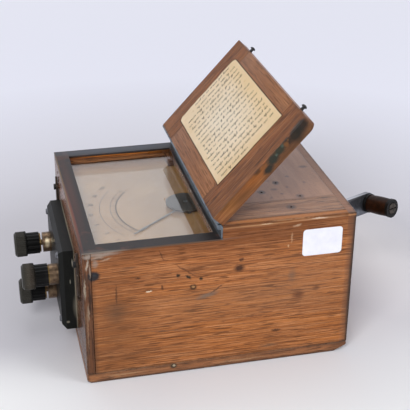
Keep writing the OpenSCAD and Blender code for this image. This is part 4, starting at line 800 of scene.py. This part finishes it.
# Low wooden block in the window's far rear corner, sawn and stained
cornerBlock = {"low": (-11.0, 75.0, 123.72), "high": (-5.05, 96.7, 131.4), "bevel": 0.5}
blockWood = oakMaterial("dark stained oak block", cornerBlock["low"], cornerBlock["high"],
                        {"look": "end", "grain": "y", "dirt": 0.4, "rub": 0.0})
bm = bmesh.new()
bmesh.ops.create_cube(bm, size=1.0)
low, high = Vector(cornerBlock["low"]) * mm, Vector(cornerBlock["high"]) * mm
bmesh.ops.scale(bm, vec=high - low, verts=bm.verts)
bmesh.ops.translate(bm, vec=(low + high) / 2, verts=bm.verts)
bmesh.ops.bevel(bm, geom=bm.edges[:], offset=cornerBlock["bevel"] * mm, affect="EDGES", segments=2, profile=0.5,
                material=-1)
newPiece("window.corner.block", bm, blockWood, "case")

# Stock label, blank, on the near side: white coated paper with round corners
stock = {"x": (75.0, 112.5), "z": (109.5, 136.5), "y": -110.65, "thick": 0.12, "radius": 3.2}
(left, right), (lower, upper) = stock["x"], stock["z"]
bm = bmesh.new()
bmesh.ops.create_grid(bm, x_segments=1, y_segments=1, size=0.5)
bmesh.ops.scale(bm, vec=((right - left) * mm, (upper - lower) * mm, 1), verts=bm.verts)
bmesh.ops.bevel(bm, geom=bm.verts[:], offset=stock["radius"] * mm, affect="VERTICES", segments=6, profile=0.5,
                material=-1)
raised = bmesh.ops.extrude_face_region(bm, geom=bm.faces[:])
bmesh.ops.translate(bm, vec=(0, 0, stock["thick"] * mm),
                    verts=[v for v in raised["geom"] if isinstance(v, bmesh.types.BMVert)])
bmesh.ops.recalc_face_normals(bm, faces=bm.faces)
bmesh.ops.transform(bm, verts=bm.verts, matrix=(
    Matrix.Translation(Vector(((left + right) / 2, stock["y"], (lower + upper) / 2)) * mm)
    @ Matrix.Rotation(math.radians(90), 4, "X")))
newPiece("stock.label", bm, sticker, "case")

# Small round nail head over the far catch
nail = {"at": (-125.0, 82.5, 126.0), "radius": 1.6, "proud": 0.4, "domeDepth": 0.12, "domeShare": 0.75}
bm = bmesh.new()
start = Vector((nail["at"][0] - nail["proud"], nail["at"][1], nail["at"][2])) * mm
steps = [(0, 0), (nail["domeDepth"], nail["radius"] * nail["domeShare"]), (nail["proud"], nail["radius"])]
profile = [bm.verts.new(start + Vector((back, 0, out)) * mm) for back, out in steps]
edges = [bm.edges.new(pair) for pair in zip(profile, profile[1:])]
bmesh.ops.spin(bm, geom=profile + edges, cent=start, axis=(1, 0, 0), angle=2 * math.pi, steps=16,
               use_merge=True)
bmesh.ops.remove_doubles(bm, verts=bm.verts, dist=weld)
bmesh.ops.recalc_face_normals(bm, faces=bm.faces)
newPiece("nail.head", bm, iron, "case")
print("small pieces made")

# Rays that show the backdrop as it is: straight from the camera, or by way of metal or glass
def seenDirectly(tree):
    path = addNode(tree, "LightPath")
    seen = addNode(tree, "Math", {"operation": "MAXIMUM"},
                   {0: path.outputs["Is Glossy Ray"], 1: path.outputs["Is Transmission Ray"]})
    return addNode(tree, "Math", {"operation": "MAXIMUM"}, {0: path.outputs["Is Camera Ray"], 1: seen})


# Floor: a sweep of matt paper, 9 m wide, darker round the case as painted shade. That painted shade is spread
# over a span in m from the middle, its painted pools of light are rows of marks, and seen directly it glows
# more with distance, a painted glow like that of a rising sweep.
floorLook = {
    "size": 9.0, "near": "#cfcdd3", "far": "#eff0fc", "shadeFrom": 0.28, "shadeTo": 0.7, "glow": "#fdfdff",
    "lift": 0.015, "rise": 0.16, "pools": [
        ((20, -260, 0), (300, 150, 60), "#eaebec", 0.98, 0.6),
        ((216, 80, 0), (44, 100, 60), "#ebe8ea", 0.95, 0.6),
        ((-240, -125, 0), (110, 60, 60), "#efefef", 0.9, 0.6)]}
bm = bmesh.new()
bmesh.ops.create_grid(bm, x_segments=1, y_segments=1, size=floorLook["size"] / 2)
mesh = bpy.data.meshes.new("floor")
bm.to_mesh(mesh)
bm.free()
floor = bpy.data.objects.new("floor", mesh)
scene.collection.objects.link(floor)
material, tree = startMaterial("pale paper sweep")
middle = addNode(tree, "TexCoord").outputs["Object"]
away = addNode(tree, "VectorMath", {"operation": "LENGTH"}, {0: middle}).outputs["Value"]
paintedShade = addNode(tree, "MapRange", {"From Min": floorLook["shadeFrom"], "From Max": floorLook["shadeTo"]},
               {"Value": away})
tint = addNode(tree, "MixRGB", {"Color1": linear(floorLook["near"]), "Color2": linear(floorLook["far"])},
               {"Fac": paintedShade})
for pool in floorLook["pools"]:
    tint = markOn(tree, tint, pieceCoordinates(tree), pool)
matt = addNode(tree, "BsdfPrincipled", {"Roughness": 0.8}, {"Base Color": tint})
lift = addNode(tree, "Math", {"operation": "MULTIPLY_ADD", 1: floorLook["rise"], 2: floorLook["lift"]},
               {0: away})
glow = addNode(tree, "Emission", {"Color": linear(floorLook["glow"])}, {"Strength": lift})
lifted = addNode(tree, "AddShader", links={0: matt, 1: glow})
either = addNode(tree, "MixShader", links={0: seenDirectly(tree), 1: matt, 2: lifted})
addNode(tree, "OutputMaterial", links={"Surface": either})
mesh.materials.append(material)

# White behind and above the case, a dim room in front of it that only reflections show, and an even soft light
# for everything else. "from" and "to" are where the room ends and the white begins, by the direction's Y.
studio = {"from": -0.35, "to": 0.15, "room": "#77777c", "white": "#ececf4", "reflected": 1.12, "seen": 1.2,
          "soft": "#f4f6ff", "softStrength": 0.39}
world = bpy.data.worlds.new("studio")
scene.world = world
world.use_nodes = True
tree = world.node_tree
tree.nodes.clear()
direction = addNode(tree, "SeparateXYZ", links={0: addNode(tree, "TexCoord").outputs["Generated"]})
behind = addNode(tree, "MapRange", {
    "From Min": studio["from"], "From Max": studio["to"], "interpolation_type": "SMOOTHSTEP"},
    {"Value": direction.outputs["Y"]})
cameraRay = addNode(tree, "LightPath").outputs["Is Camera Ray"]
pale = addNode(tree, "Math", {"operation": "MAXIMUM"}, {0: behind, 1: cameraRay})
bright = addNode(tree, "MapRange", {"To Min": studio["reflected"], "To Max": studio["seen"]},
                 {"Value": cameraRay})
room = addNode(tree, "MixRGB", {"Color1": linear(studio["room"]), "Color2": linear(studio["white"])},
               {"Fac": pale})
soft = addNode(tree, "Background", {"Color": linear(studio["soft"]), "Strength": studio["softStrength"]})
white = addNode(tree, "Background", {}, {"Color": room, "Strength": bright})
either = addNode(tree, "MixShader", links={0: seenDirectly(tree), 1: soft, 2: white})
addNode(tree, "OutputWorld", links={"Surface": either})

# Soft lamps, in m, all aimed at the middle of the case
lamps = {
    "key": {"at": (-1.0, -1.6, 1.6), "size": 1.0, "watts": 34},
    "fill": {"at": (1.4, -1.2, 1.3), "size": 0.9, "watts": 14},
    "back": {"at": (-0.3, 1.3, 2.2), "size": 1.2, "watts": 6},
}
for name, lamp in lamps.items():
    data = bpy.data.lights.new(name, "AREA")
    data.size = lamp["size"]
    data.energy = lamp["watts"]
    light = bpy.data.objects.new(name, data)
    light.location = lamp["at"]
    aim = Vector((0, 0, 80)) * mm - light.location
    light.rotation_euler = aim.to_track_quat("-Z", "Y").to_euler()
    scene.collection.objects.link(light)

# Camera fitted to the photograph's corners: its place in mm, its angles in radians
camera = {"at": (-205.5, -887.0, 571.1), "yaw": 0.2390673, "pitch": 0.4636772, "roll": 0.0094505, "lens": 90.83}
eye = bpy.data.cameras.new("eye")
eye.lens = camera["lens"]
eyeObject = bpy.data.objects.new("eye", eye)
eyeObject.matrix_world = (
    Matrix.Translation(Vector(camera["at"]) * mm) @ Matrix.Rotation(-camera["yaw"], 4, "Z")
    @ Matrix.Rotation(math.pi / 2 - camera["pitch"], 4, "X") @ Matrix.Rotation(camera["roll"], 4, "Z"))
scene.collection.objects.link(eyeObject)
scene.camera = eyeObject
scene.view_settings.view_transform = "Standard"
print("studio ready")
